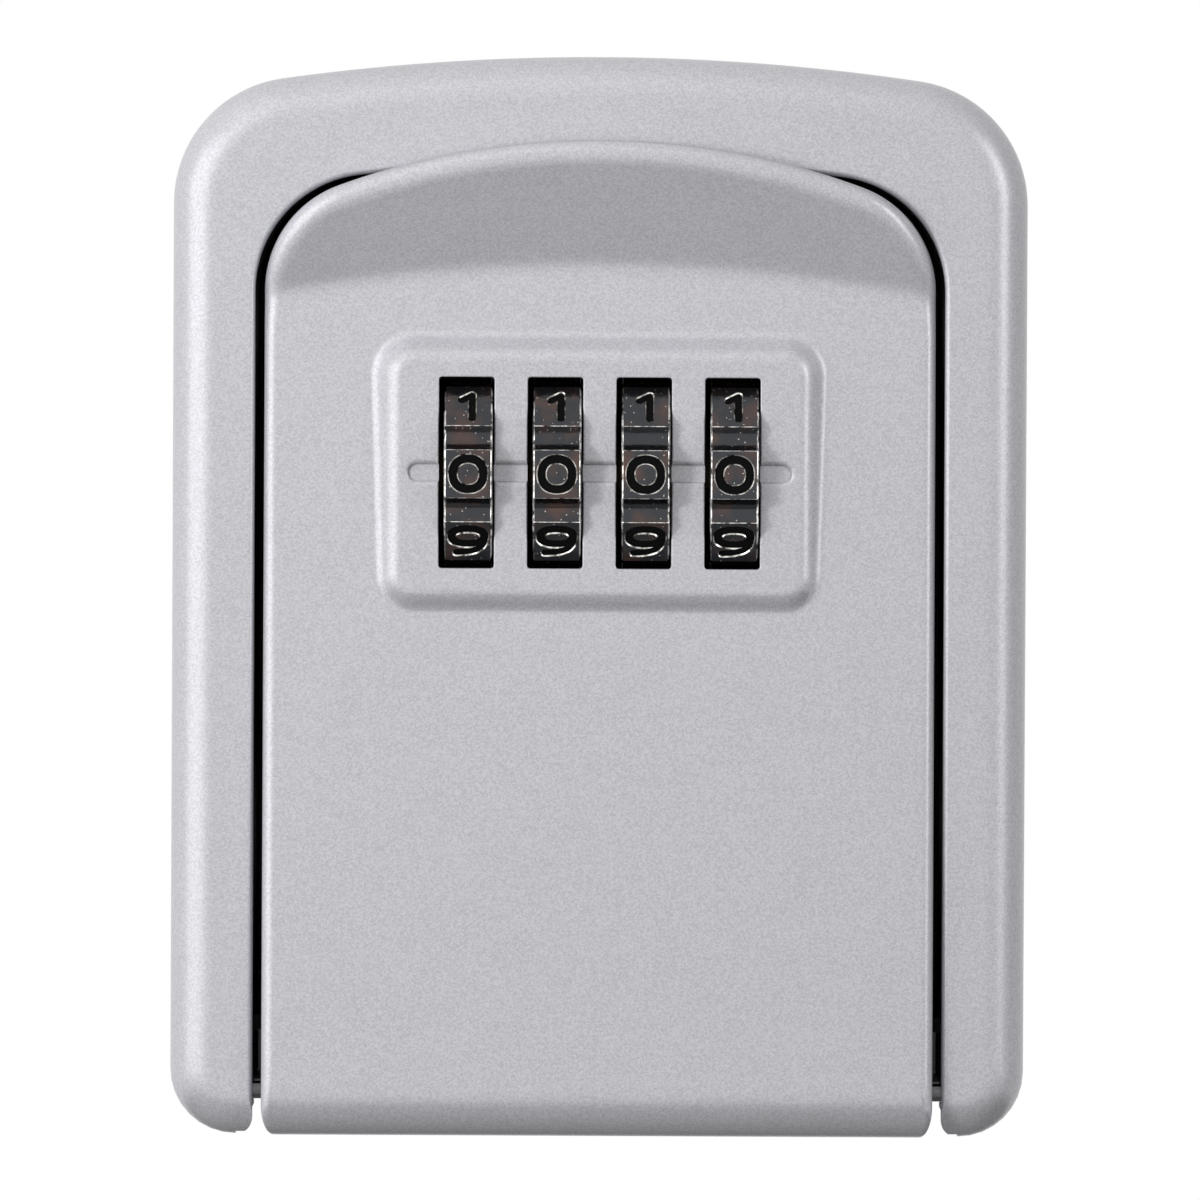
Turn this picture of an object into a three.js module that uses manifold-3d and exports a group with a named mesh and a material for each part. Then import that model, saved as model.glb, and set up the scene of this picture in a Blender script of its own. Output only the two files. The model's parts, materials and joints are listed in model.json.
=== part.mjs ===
// A wall-mounted key safe with a four-wheel combination lock.
// Millimetres. X is to the right, -Y to the front, +Z up, and the wall is the plane y = 0.
// Heights are written from the bottom edge of the case; the group is lowered by mountHeight.
import * as THREE from "three";
import { mergeVertices } from "three/addons/utils/BufferGeometryUtils.js";
import Module from "manifold-3d";

// Case
const caseWidth = 95;
const caseHeight = 120;
const caseDepth = 34;
const caseWall = 3;
const caseArchRadius = 250;
const caseTopCorner = 14;
const caseBottomCorner = 7.25;
const rimRound = 4.75;
const rimWidth = 9.2;
const rimTopHeight = 11.8;
const flangeThickness = 3;
const openingCorner = 13;
const openingChamfer = 0.5;
const floorUnderside = 3.5;
const floorThickness = 2;
const floorGap = 2.5; // behind the heel of the door
const cheekHeight = 10;
const cheekDepth = 10;
const seat = 0.1; // between pieces that rest on each other
const slip = 0.3; // between pieces that slide into each other
const screwHead = 2.2;
const screwHeadHeight = 1.3;
const screwShank = 1.15;

// Back plate and wall mounting
const backPlateThickness = 2.5;
const mountHeight = 62;
const wallHoleRadius = 2.75;
const wallHoleSpacingX = 48;
const wallHoleSpacingZ = 56;
const backScrewRise = 18; // lower screws above the bottom edge
const backScrewDrop = 22; // upper screws below the top
const backBossRadius = 2;

// Liner
const linerWall = 1.6;
const shelfTop = 12.7;
const shelfGap = 1.7; // behind the heel of the door
const linerFoot = 2.8;
const hookDrop = 3.5; // below the housing of the door
const hookScrewRise = 1.6;
const hookStrip = 1.2;
const hookHalfWidth = 3.5;
const hookHalfHeight = 5;
const hookReach = 9.6;

// Door
const doorGap = 1.05;
const lipOverlap = 2.5;
const lipClearance = 0.3;
const doorArchRadius = 84.5;
const doorCorner = 12.5;
const doorFootWidth = 1.5;
const doorFootHeight = 3.5;
const doorWall = 2.4;
const doorEdgeRound = 1.3;
const doorProud = 2.5; // door face in front of the rim at the hinge
const doorLean = 0.03;
const hingeRound = 5;
const skirtHeelRadius = 9.5;
const pinRadius = 1;
const pinReach = 5.2; // of each end into the case
const lugWidth = 6;
const lugHeight = 10;
const scoopDrop = 16.3; // start of the scoop below the top of the lip
const scoopBlend = 4;
const scoopSlope = 0.5;
const scoopArchRadius = 200;

// Bezel and windows
const bezelWidth = 45.8;
const bezelHeight = 26.9;
const bezelDrop = 46.55; // centre below the top of the case
const bezelProud = 2.2; // in front of the case rim
const bezelSlope = 2.9;
const bezelCorner = 2.4;
const bezelPlate = 1.4;
const windowWidth = 6.14;
const windowHeight = 21.2;
const windowRise = 0.35; // above the centre of the bezel
const grooveWidth = 42.2;
const grooveHeight = 1.8;
const grooveDepth = 0.35;

// Code wheels
const wheelCount = 4;
const wheelPitch = 9.83;
const wheelShift = 0.2;
const wheelWidth = 5.4;
const wheelApothem = 12.75;
const wheelProud = 2.735; // in front of the bezel
const wheelLands = 10;
const valleyAngle = 12;
const valleyDepth = 0.8;
const axisDrop = 0.1; // below the middle of the windows
const notchDepth = 1.4;

// Spindle, hubs and the shift for a new code
const spindleRadius = 2;
const hubBore = 2.2;
const hubRadius = 5;
const hubClearance = 0.3;
const discClearance = 0.3; // behind the face of the bezel
const discThickness = 1.2;
const discOffset = 3.9; // disc centre to the left of its wheel's centre, code slide home
const dogRadius = 6.2;
const dogWidth = 1.8;
const dogOffset = 1.5;
const codeShift = 2.2;
const leverGap = 0.85; // beside the last hub, past the clip
const leverWidth = 0.9;
const leverForkHalf = 3.4;
const leverNeckHalf = 1.6;
const leverNeck = 5; // start of the neck behind the spindle
const leverKnobHalf = 2.4;
const leverKnobReach = 2.6; // behind the housing
const gateWidth = 4;
const gateDepth = 2.5;

// Frame that carries the spindle
const frameSheet = 1.4;
const frameGap = 0.555; // beside the hubs
const frameRise = 11.3; // top above the spindle
const webGap = 4.265; // below the wheels
const footReach = 6.8;
const footSetback = 5.2; // behind the face of the bezel
const padOffsets = [-7.7, 1.8]; // from the spindle
const springShelfRise = 4.3; // above the spindle

// Latch
const latchOffset = 1.5; // front in front of the spindle
const latchThickness = 3;
const latchGap = 0.865; // above the wheels
const latchHeight = 10;
const latchHalfWidth = 17;
const latchArmOverhang = 2.5; // past the middle of each spring
const latchArmHeight = 3.4;
const latchTravel = 2.4;
const fingerWidth = 1.4;
const fingerGateGap = 0.5;
const noseHalfWidth = 6.5;
const noseGap = 0.7; // behind the strike
const noseDrop = 0.6; // below the strike, latch drawn
const noseRamp = 1.4;
const guideX = 13;
const guideRise = 6.6; // above the bottom of the latch
const guideRadius = 1.5;

// Strike
const strikeHalfWidth = 15;
const strikeReach = 0.1; // below the edge of the rim
const strikeHeight = 7.2;
const strikeThickness = 1.6;
const strikeScrewX = 11;

// Inner cover
const coverThickness = 1.5;
const coverBottom = 10.6;
const housingSideGap = 0.4; // round the frame
const housingDrop = 1.9; // below the frame
const housingRise = 3.4; // above the latch
const housingGap = 0.965; // behind the wheels
const housingCorner = 4;
const coverScrewInset = 4.1; // from the inside of the door wall
const coverScrewRise = 4.4; // above the cover's bottom
const coverScrewDrop = 4.5; // below the housing

// Springs
const springRadius = 1.6;
const springWire = 0.5;
const springTurns = 5;
const springOffset = 2.8; // beside the frame

// Sizes that follow from those above
const halfWidth = caseWidth / 2;
const openingHalf = halfWidth - rimWidth;
const openingTop = caseHeight - rimTopHeight;
const doorHalf = openingHalf - doorGap;
const doorTop = openingTop + lipOverlap;
const innerHalf = halfWidth - caseWall;
const linerFront = caseDepth - flangeThickness - slip;
const linerBack = backPlateThickness + seat * 2;
const pinHeight = hingeRound;
const pinDepth = caseDepth + doorProud - hingeRound;
const skirtBack = pinDepth - skirtHeelRadius;
const floorFront = skirtBack - floorGap;
const shelfFront = skirtBack - shelfGap;
const backScrewHeights = [backScrewRise, caseHeight - backScrewDrop];
const scoopHeight = doorTop - scoopDrop;
const bezelFace = caseDepth + bezelProud;
const bezelCentre = caseHeight - bezelDrop;
const windowCentre = bezelCentre + windowRise;
const farFront = caseDepth + 26; // past everything
const landHalf = (360 / wheelLands - valleyAngle) / 2;
const wheelRadius = wheelApothem / Math.cos((landHalf * Math.PI) / 180);
const axisDepth = bezelFace + wheelProud - wheelRadius;
const axisHeight = windowCentre - axisDrop;
const discRadius = bezelFace - bezelPlate - discClearance - axisDepth;
const wheelXs = Array.from({ length: wheelCount }, (_, i) =>
  (i - (wheelCount - 1) / 2) * wheelPitch + wheelShift);
const hubsLeft = wheelXs[0] - discOffset - discThickness / 2 - codeShift;
const frameHalfWidth = frameGap - hubsLeft + frameSheet;
const frameTop = axisHeight + frameRise;
const frameWebHeight = axisHeight - wheelRadius - webGap;
const footFront = bezelFace - footSetback;
const padHeights = padOffsets.map((offset) => axisHeight + offset);
const springShelfHeight = axisHeight + springShelfRise;
const springX = frameHalfWidth + springOffset;
const latchFront = axisDepth + latchOffset;
const latchBottom = axisHeight + wheelRadius + latchGap;
const latchTop = latchBottom + latchHeight;
const latchArmReach = springX + latchArmOverhang;
const guideHeight = latchBottom + guideRise;
const flangeBack = caseDepth - flangeThickness;
const strikeBottom = openingTop - strikeReach;
const noseFront = flangeBack - seat - strikeThickness - noseGap;
const noseTop = strikeBottom - noseDrop;
const housingHalfWidth = frameHalfWidth + housingSideGap + coverThickness;
const housingBottom = frameWebHeight - housingDrop;
const housingTop = latchTop + housingRise;
const housingBack = axisDepth - wheelRadius - housingGap - coverThickness;
const coverScrewX = doorHalf - doorWall - coverScrewInset;
const coverScrewHeights = [coverBottom + coverScrewRise, housingBottom - coverScrewDrop];
const hookHeight = housingBottom - hookDrop;

const wasm = await Module();
wasm.setup();

const radians = (degrees) => (degrees * Math.PI) / 180;

// A closed geometry as a solid, turned to face outwards.
function solidOf(geometry) {
  const bare = geometry.clone();
  bare.deleteAttribute("normal");
  bare.deleteAttribute("uv");
  const merged = mergeVertices(bare, 1e-4);
  const triVerts = new Uint32Array(merged.index.array);
  const build = () => new wasm.Manifold(new wasm.Mesh({
    numProp: 3,
    vertProperties: new Float32Array(merged.attributes.position.array),
    triVerts,
  }));
  const solid = build();
  if (solid.volume() > 0) return solid;
  for (let i = 0; i < triVerts.length; i += 3) {
    [triVerts[i + 1], triVerts[i + 2]] = [triVerts[i + 2], triVerts[i + 1]];
  }
  return build();
}

const join = (...solids) => solids.reduce((all, next) => all.add(next));
const cut = (solid, ...tools) => tools.reduce((rest, tool) => rest.subtract(tool), solid);

function geometryOf(solid) {
  const { numProp, numVert, vertProperties, triVerts } = solid.getMesh();
  const positions = new Float32Array(numVert * 3);
  for (let i = 0; i < numVert; i += 1) {
    positions.set(vertProperties.subarray(i * numProp, i * numProp + 3), i * 3);
  }
  const shared = new THREE.BufferGeometry();
  shared.setAttribute("position", new THREE.BufferAttribute(positions, 3));
  shared.setIndex(new THREE.BufferAttribute(new Uint32Array(triVerts), 1));
  const faceted = shared.toNonIndexed();
  faceted.computeVertexNormals();
  return faceted;
}

// A box between two corners; y is given as depth in front of the wall.
function box(x0, x1, depth0, depth1, z0, z1) {
  const geometry = new THREE.BoxGeometry(x1 - x0, depth1 - depth0, z1 - z0);
  geometry.translate((x0 + x1) / 2, -(depth0 + depth1) / 2, (z0 + z1) / 2);
  return solidOf(geometry);
}

// An outline in X and Z, extruded between two depths in front of the wall.
function prism(outline, depth0, depth1) {
  const shape = Array.isArray(outline)
    ? new THREE.Shape(outline.map(([x, z]) => new THREE.Vector2(x, z))) : outline;
  const geometry = new THREE.ExtrudeGeometry(shape, {
    depth: depth1 - depth0, bevelEnabled: false, curveSegments: 6,
  });
  geometry.rotateX(Math.PI / 2);
  geometry.translate(0, -depth0, 0);
  return solidOf(geometry);
}

// A section in depth and Z, extruded from x0 to x1.
function section(points, x0, x1) {
  const shape = Array.isArray(points)
    ? new THREE.Shape(points.map(([d, z]) => new THREE.Vector2(-d, z))) : points;
  const geometry = new THREE.ExtrudeGeometry(shape, {
    depth: x1 - x0, bevelEnabled: false, curveSegments: 6,
  });
  geometry.applyMatrix4(new THREE.Matrix4().makeBasis(
    new THREE.Vector3(0, 1, 0), new THREE.Vector3(0, 0, 1), new THREE.Vector3(1, 0, 0)));
  geometry.translate(x0, 0, 0);
  return solidOf(geometry);
}

// A round bar along X about the point (depth, z).
function barX(radius, x0, x1, depth, z, segments = 16) {
  const geometry = new THREE.CylinderGeometry(radius, radius, x1 - x0, segments);
  geometry.rotateZ(Math.PI / 2);
  geometry.translate((x0 + x1) / 2, -depth, z);
  return solidOf(geometry);
}

// A round bar along Y between two depths; the first radius is at the first depth.
function barY(radius0, radius1, x, z, depth0, depth1, segments = 12) {
  const geometry = new THREE.CylinderGeometry(radius0, radius1, depth1 - depth0, segments);
  geometry.translate(x, -(depth0 + depth1) / 2, z);
  return solidOf(geometry);
}

function barZ(radius, x, depth, z0, z1, segments = 10) {
  const geometry = new THREE.CylinderGeometry(radius, radius, z1 - z0, segments);
  geometry.rotateX(Math.PI / 2);
  geometry.translate(x, -depth, (z0 + z1) / 2);
  return solidOf(geometry);
}

function arc(x, z, radius, from, to, steps) {
  return Array.from({ length: steps + 1 }, (_, i) => {
    const angle = radians(from + ((to - from) * i) / steps);
    return [x + radius * Math.cos(angle), z + radius * Math.sin(angle)];
  });
}

const mirrored = (points) => points.map(([x, z]) => [-x, z]).reverse();

// Four sides of an arched outline, each from left to right or from bottom to top. A side runs up a
// straight flank and round half of the top corner; the top runs over the rest of the corners.
function archSides({ half, foot, footWidth, footHeight, top, archRadius, corner, flank, across }) {
  const archCentre = top - archRadius;
  const reach = archRadius - corner;
  const cornerX = half - corner;
  const cornerZ = archCentre + Math.sqrt(reach * reach - cornerX * cornerX);
  const crown = (Math.atan2(cornerZ - archCentre, cornerX) * 180) / Math.PI;
  const middle = crown / 2;
  const right = [];
  for (let i = 0; i <= 3; i += 1) {
    const angle = radians(-90 + 30 * i);
    right.push([half - footWidth + footWidth * Math.cos(angle), foot + footHeight * (1 + Math.sin(angle))]);
  }
  flank.filter((z) => z > foot + footHeight + 0.5 && z < cornerZ - 0.5).forEach((z) => right.push([half, z]));
  right.push(...arc(cornerX, cornerZ, corner, 0, middle, 3));
  const overRight = [
    ...arc(cornerX, cornerZ, corner, middle, crown, 3),
    ...arc(0, archCentre, archRadius, crown, 90, across).slice(1),
  ].reverse();
  const topSide = [...mirrored(overRight).slice(0, -1), ...overRight];
  const columns = topSide.length - 1;
  const footHalf = half - footWidth;
  const bottom = topSide.map((p, i) => {
    const evenly = -footHalf + (2 * footHalf * i) / columns;
    return [evenly, foot];
  });
  return { bottom, right, top: topSide, left: right.map(([x, z]) => [-x, z]) };
}

const roundedSides = (x, z, width, height, corner, steps = 3, across = 2) => {
  const [halfX, halfZ] = [width / 2, height / 2];
  const quarter = (cx, cz, from, to) => arc(cx, cz, corner, from, to, steps);
  const [px, pz] = [halfX - corner, halfZ - corner];
  const right = [...quarter(px, -pz, -45, 0), ...quarter(px, pz, 0, 45)];
  const topRight = quarter(px, pz, 45, 90).reverse();
  const between = Array.from({ length: across - 1 }, (_, i) => [-px + (2 * px * (i + 1)) / across, halfZ]);
  const top = [...mirrored(topRight), ...between, ...topRight];
  const shift = ([a, b]) => [x + a, z + b];
  return {
    bottom: top.map(([a, b]) => [a, -b]).map(shift),
    right: right.map(shift),
    top: top.map(shift),
    left: right.map(([a, b]) => [-a, b]).map(shift),
  };
};

const loopOf = ({ bottom, right, top, left }) => [
  ...bottom.slice(0, -1), ...right.slice(0, -1),
  ...[...top].reverse().slice(0, -1), ...[...left].reverse().slice(0, -1),
];

// Moves every point of a closed outline inwards by a distance.
function inset(loop, distance) {
  const count = loop.length;
  return loop.map(([x, z], i) => {
    const [ax, az] = loop[(i + count - 1) % count];
    const [bx, bz] = loop[(i + 1) % count];
    const before = new THREE.Vector2(x - ax, z - az).normalize();
    const after = new THREE.Vector2(bx - x, bz - z).normalize();
    const along = before.clone().add(after).normalize();
    const stretch = 1 / Math.max(along.dot(after), 0.5);
    return [x - along.y * distance * stretch, z + along.x * distance * stretch];
  });
}

// The four sides of an outline, all moved inwards by a distance.
function insetSides(sides, distance) {
  const loop = inset(loopOf(sides), distance);
  const [columns, rows] = [sides.bottom.length - 1, sides.right.length - 1];
  const at = (i) => loop[i % loop.length];
  const run = (from, count, step) => Array.from({ length: count + 1 }, (_, i) => at(from + i * step));
  return {
    bottom: run(0, columns, 1),
    right: run(columns, rows, 1),
    top: run(2 * columns + rows, columns, -1),
    left: run(2 * columns + 2 * rows, rows, -1),
  };
}

// A body whose front is a curved sheet. The rings step in from the outline by [inset, setback];
// front(x, z, setback) and back(x, z) give depths in front of the wall. The middle is a Coons patch.
function sheetBody(sides, rings, front, back) {
  const outline = loopOf(sides);
  const count = outline.length;
  const columns = sides.bottom.length - 1;
  const rows = sides.right.length - 1;
  const positions = [];
  const indices = [];
  const quad = (a, b, c, d) => indices.push(a, b, c, a, c, d);
  const ringPoints = rings.map(([distance]) => inset(outline, distance));
  ringPoints.forEach((points, k) => {
    points.forEach(([x, z]) => positions.push(x, -front(x, z, rings[k][1]), z));
  });
  for (let k = 0; k + 1 < rings.length; k += 1) {
    for (let i = 0; i < count; i += 1) {
      const j = (i + 1) % count;
      quad(k * count + i, k * count + j, (k + 1) * count + j, (k + 1) * count + i);
    }
  }
  const patch = (loop, loopStart, depthAt, reversed) => {
    const at = (i) => loop[((i % count) + count) % count];
    const edge = {
      bottom: (c) => at(c),
      right: (r) => at(columns + r),
      top: (c) => at(2 * columns + rows - c),
      left: (r) => at(2 * columns + 2 * rows - r),
    };
    const start = positions.length / 3;
    const lerp = (a, b, t) => a + (b - a) * t;
    for (let r = 1; r < rows; r += 1) {
      for (let c = 1; c < columns; c += 1) {
        const [u, v] = [c / columns, r / rows];
        const point = [0, 1].map((axis) => {
          const across = lerp(edge.left(r)[axis], edge.right(r)[axis], u);
          const upwards = lerp(edge.bottom(c)[axis], edge.top(c)[axis], v);
          const corners = lerp(
            lerp(edge.bottom(0)[axis], edge.bottom(columns)[axis], u),
            lerp(edge.top(0)[axis], edge.top(columns)[axis], u), v);
          return across + upwards - corners;
        });
        positions.push(point[0], -depthAt(point[0], point[1]), point[1]);
      }
    }
    const id = (c, r) => {
      if (r === 0) return loopStart + (c % count);
      if (r === rows) return loopStart + ((2 * columns + rows - c) % count);
      if (c === columns) return loopStart + columns + r;
      if (c === 0) return loopStart + ((2 * columns + 2 * rows - r) % count);
      return start + (r - 1) * (columns - 1) + (c - 1);
    };
    for (let r = 0; r < rows; r += 1) {
      for (let c = 0; c < columns; c += 1) {
        const corners = [id(c, r), id(c + 1, r), id(c + 1, r + 1), id(c, r + 1)];
        if (reversed) corners.reverse();
        quad(...corners);
      }
    }
  };
  const last = rings.length - 1;
  const lastSetback = rings[last][1];
  patch(ringPoints[last], last * count, (x, z) => front(x, z, lastSetback), false);
  const backStart = positions.length / 3;
  outline.forEach(([x, z]) => positions.push(x, -back(x, z), z));
  for (let i = 0; i < count; i += 1) {
    const j = (i + 1) % count;
    quad(backStart + i, backStart + j, j, i);
  }
  patch(outline, backStart, back, true);
  const geometry = new THREE.BufferGeometry();
  geometry.setAttribute("position", new THREE.Float32BufferAttribute(positions, 3));
  geometry.setIndex(indices);
  return solidOf(geometry);
}

// Insets and setbacks of a quarter-round edge.
const roundEdge = (radius, steps) => Array.from({ length: steps + 1 }, (_, i) => {
  const angle = (i / steps) * (Math.PI / 2);
  return [radius * (1 - Math.cos(angle)), radius * (1 - Math.sin(angle))];
});

// Pan or countersunk screw along Y, head towards the wall at depth head.
function screwGeometry({ x, z, head, headRadius, headHeight, shankRadius, shankEnd, countersunk }) {
  const crown = countersunk ? headRadius : headRadius * 0.75;
  const rim = countersunk ? shankRadius : headRadius;
  const profile = [
    [0, -head], [crown, -head], [rim, -head - headHeight * (countersunk ? 1 : 0.45)],
    [rim, -head - headHeight], [shankRadius, -head - headHeight],
    [shankRadius, -shankEnd], [0, -shankEnd],
  ].filter(([r, y], i, all) => i === 0 || r !== all[i - 1][0] || y !== all[i - 1][1]);
  const lathe = new THREE.LatheGeometry(profile.map(([r, y]) => new THREE.Vector2(r, y)), 10);
  lathe.translate(x, 0, z);
  return solidOf(lathe);
}

const silver = new THREE.MeshStandardMaterial({ color: "#bcbbc0", roughness: 0.42, metalness: 0.55 });
const blackChrome = new THREE.MeshStandardMaterial({ color: "#2b2725", roughness: 0.2, metalness: 1 });
const blackPlastic = new THREE.MeshStandardMaterial({ color: "#1b1b1d", roughness: 0.6, metalness: 0 });
const zincSteel = new THREE.MeshStandardMaterial({ color: "#9fa1a4", roughness: 0.35, metalness: 1 });
const springSteel = new THREE.MeshStandardMaterial({ color: "#b4b5b6", roughness: 0.25, metalness: 1 });
const brass = new THREE.MeshStandardMaterial({ color: "#b39a5e", roughness: 0.35, metalness: 1 });

const safe = new THREE.Group();
safe.position.z = -mountHeight;
const caseGroup = new THREE.Group();
const doorGroup = new THREE.Group();
const latchGroup = new THREE.Group();
const dialGroup = new THREE.Group();
doorGroup.add(latchGroup, dialGroup);
safe.add(caseGroup, doorGroup);

function place(group, name, solid, material) {
  const mesh = new THREE.Mesh(geometryOf(solid), material);
  mesh.name = name;
  group.add(mesh);
}

// Outlines
const flankHeights = [14, 50, 78, ...[9.9, 7.9, 5.9, 3.9, 2.1].map((drop) => scoopHeight - drop)];
const cavityFlank = [14, 50, ...[10.4, 6.4, 2.4].map((drop) => scoopHeight - drop)];
const caseSides = archSides({
  half: halfWidth, foot: 0, footWidth: caseBottomCorner, footHeight: caseBottomCorner,
  top: caseHeight, archRadius: caseArchRadius, corner: caseTopCorner, flank: [40, 75], across: 3,
});
const innerLoop = inset(loopOf(caseSides), caseWall);
const openingSides = (grow, foot = -1) => archSides({
  half: openingHalf + grow, foot, footWidth: 0.01, footHeight: 0.01, top: openingTop + grow,
  archRadius: caseArchRadius + grow, corner: openingCorner + grow, flank: [], across: 4,
});
const openingLoop = (grow, foot) => {
  const { bottom, right, top } = openingSides(grow, foot);
  const flank = right.slice(3);
  return [bottom[0], bottom[bottom.length - 1], ...flank.slice(1, -1), ...[...top].reverse(),
    ...mirrored(flank.slice(1)).slice(1)];
};

// Case: rounded shell, inverted-U opening, cheeks for the hinge pin, a floor behind the hinge.
const cheekInner = openingHalf + linerWall + slip;
const bossX = cheekInner + backBossRadius;
{
  const block = sheetBody(caseSides, roundEdge(rimRound, 4), (x, z, setback) => caseDepth - setback, () => 0);
  const hollow = prism(innerLoop, -1, flangeBack);
  const opening = prism(openingLoop(0), flangeBack - 1, caseDepth + 1);
  const flare = sheetBody(openingSides(openingChamfer * 2),
    [[0, -openingChamfer], [openingChamfer * 3, openingChamfer * 2]],
    (x, z, setback) => caseDepth - setback, () => caseDepth + 1);
  const underside = box(-cheekInner, cheekInner, -1, flangeBack, -1, floorUnderside);
  let shell = cut(block, hollow, opening, flare, underside);
  const floor = box(-innerHalf - 1, innerHalf + 1, backPlateThickness + seat * 2, floorFront,
    floorUnderside, floorUnderside + floorThickness);
  const sides = [-1, 1].map((side) => {
    const [a, b] = [side * cheekInner, side * (innerHalf + 1)].sort((p, q) => p - q);
    const cheek = box(a, b, flangeBack - cheekDepth, flangeBack + 0.5, 1, cheekHeight);
    const bosses = backScrewHeights.map((z) =>
      barY(backBossRadius, backBossRadius, side * bossX, z, backPlateThickness + seat, flangeBack + 0.5, 10));
    const webs = backScrewHeights.map((z) => {
      const [p, q] = [side * bossX, side * (innerHalf + 1)].sort((m, n) => m - n);
      return box(p, q, backPlateThickness + seat, flangeBack + 0.5, z - 1, z + 1);
    });
    return join(cheek, ...bosses, ...webs);
  });
  shell = join(shell, join(floor, ...sides).intersect(block));
  const holes = [-1, 1].flatMap((side) => backScrewHeights.map((z) =>
    barY(1.25, 1.25, side * bossX, z, backPlateThickness, 14, 8)));
  const pinEnd = openingHalf + pinReach + slip;
  const pinHole = barX(pinRadius + 0.12, -pinEnd, pinEnd, pinDepth, pinHeight);
  const strikeHoles = [-1, 1].map((side) =>
    barY(1.25, 1.25, side * strikeScrewX, strikeBottom + strikeHeight - 3, flangeBack - 1, caseDepth - 1, 8));
  place(caseGroup, "body_shell", cut(shell, ...holes, pinHole, ...strikeHoles), silver);
}

// Back plate, let in flush with the shell, and its countersunk screws
const wallHoles = [-1, 1].flatMap((side) => [-1, 1].map((row) =>
  [side * wallHoleSpacingX / 2, mountHeight + row * wallHoleSpacingZ / 2]));
const backScrewSpots = [-1, 1].flatMap((side) => backScrewHeights.map((z) => [side * bossX, z]));
{
  const plate = cut(
    prism(inset(innerLoop, slip), 0, backPlateThickness),
    box(-halfWidth, halfWidth, -1, backPlateThickness + 1, -1, floorUnderside + 0.2),
    ...wallHoles.map(([x, z]) => barY(wallHoleRadius, wallHoleRadius, x, z, -1, backPlateThickness + 1, 16)),
    ...backScrewSpots.map(([x, z]) => barY(1.6, 1.6, x, z, -1, backPlateThickness + 1, 10)),
    ...backScrewSpots.map(([x, z]) => barY(2.9, 1.6, x, z, -0.2, 1.6, 10)),
  );
  place(caseGroup, "back_plate", plate, zincSteel);
  backScrewSpots.forEach(([x, z], i) => {
    const screw = screwGeometry({
      x, z, head: slip, headRadius: screwHead + 0.1, headHeight: screwHeadHeight - 0.1,
      shankRadius: screwShank, shankEnd: 11, countersunk: true,
    });
    place(caseGroup, `back_screw_${i + 1}`, screw, zincSteel);
  });
}

// Liner: a tub behind the rim, with a shelf over the hinge
const notchTop = strikeBottom + strikeHeight + 3;
{
  const outer = prism(openingLoop(linerWall + seat, linerFoot), linerBack, linerFront);
  const inner = prism(openingLoop(seat, shelfTop), linerBack + linerWall, linerFront + 1);
  const inside = openingHalf + seat;
  const footRoom = box(-inside, inside, linerBack - 1, linerFront + 1, -1, shelfTop - linerWall);
  const underFloor = box(-halfWidth, halfWidth, linerBack - 1, floorFront + slip,
    -1, floorUnderside + floorThickness + slip);
  const shelfEnd = box(-inside, inside, shelfFront, linerFront + 1, 0, shelfTop + 1);
  const nose = box(-strikeHalfWidth - 1, strikeHalfWidth + 1, linerFront - 9, linerFront + 1,
    openingTop - 4, notchTop);
  const pinRoom = barX(pinRadius + 0.4, -halfWidth, halfWidth, pinDepth, pinHeight);
  const hookHole = barY(1.3, 1.3, 0, hookHeight + hookScrewRise, 0, linerBack + linerWall + 1);
  const screwRoom = wallHoles.map(([x, z]) => barY(4.5, 4.5, x, z, 0, linerBack + linerWall + 1, 16));
  place(caseGroup, "inner_liner",
    cut(outer, inner, footRoom, underFloor, shelfEnd, nose, pinRoom, hookHole, ...screwRoom), blackPlastic);
}

// Key hook on the back of the liner
const linerFace = linerBack + linerWall;
{
  const [a, b] = [linerFace + seat, linerFace + seat + hookStrip];
  const [foot, bend] = [hookHeight - hookHalfHeight, hookStrip + 0.9];
  const quarter = (radius) => arc(a + hookReach - bend, foot + bend, radius, -90, 0, 3);
  const hook = section([
    [a, hookHeight + hookHalfHeight], [a, foot], ...quarter(bend), [a + hookReach, hookHeight - 0.8],
    [a + hookReach - hookStrip, hookHeight - 0.8], ...quarter(bend - hookStrip).reverse(),
    [b, foot + hookStrip], [b, hookHeight + hookHalfHeight],
  ], -hookHalfWidth, hookHalfWidth);
  const hole = barY(1.4, 1.4, 0, hookHeight + hookScrewRise, 0, b + 1, 16);
  place(caseGroup, "key_hook", cut(hook, hole), zincSteel);
  const profile = [
    [0, -b - 1.3], [1.5, -b - 1.3], [2.2, -b - 0.7], [2.2, -b - seat], [1.2, -b - seat],
    [1.2, -linerBack - 0.4], [0, -linerBack - 0.4],
  ];
  const screw = new THREE.LatheGeometry(profile.map(([r, y]) => new THREE.Vector2(r, y)), 10);
  screw.translate(0, 0, hookHeight + hookScrewRise);
  place(caseGroup, "hook_screw", solidOf(screw), zincSteel);
}

// Strike plate behind the top of the rim
{
  const [front, back] = [flangeBack - seat, flangeBack - seat - strikeThickness];
  const top = strikeBottom + strikeHeight;
  const screwHeight = top - 3;
  const plate = section([
    [back, strikeBottom], [front - 0.5, strikeBottom], [front, strikeBottom + 0.5], [front, top], [back, top],
  ], -strikeHalfWidth, strikeHalfWidth);
  const holes = [-1, 1].map((side) => barY(1.4, 1.4, side * strikeScrewX, screwHeight, 20, caseDepth, 16));
  place(caseGroup, "strike_plate", cut(plate, ...holes), zincSteel);
  [-1, 1].forEach((side, i) => {
    const screw = screwGeometry({
      x: side * strikeScrewX, z: screwHeight, head: back - seat - screwHeadHeight,
      headRadius: screwHead, headHeight: screwHeadHeight, shankRadius: screwShank, shankEnd: caseDepth - 1.3,
    });
    place(caseGroup, `strike_screw_${i + 1}`, screw, zincSteel);
  });
}

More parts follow.
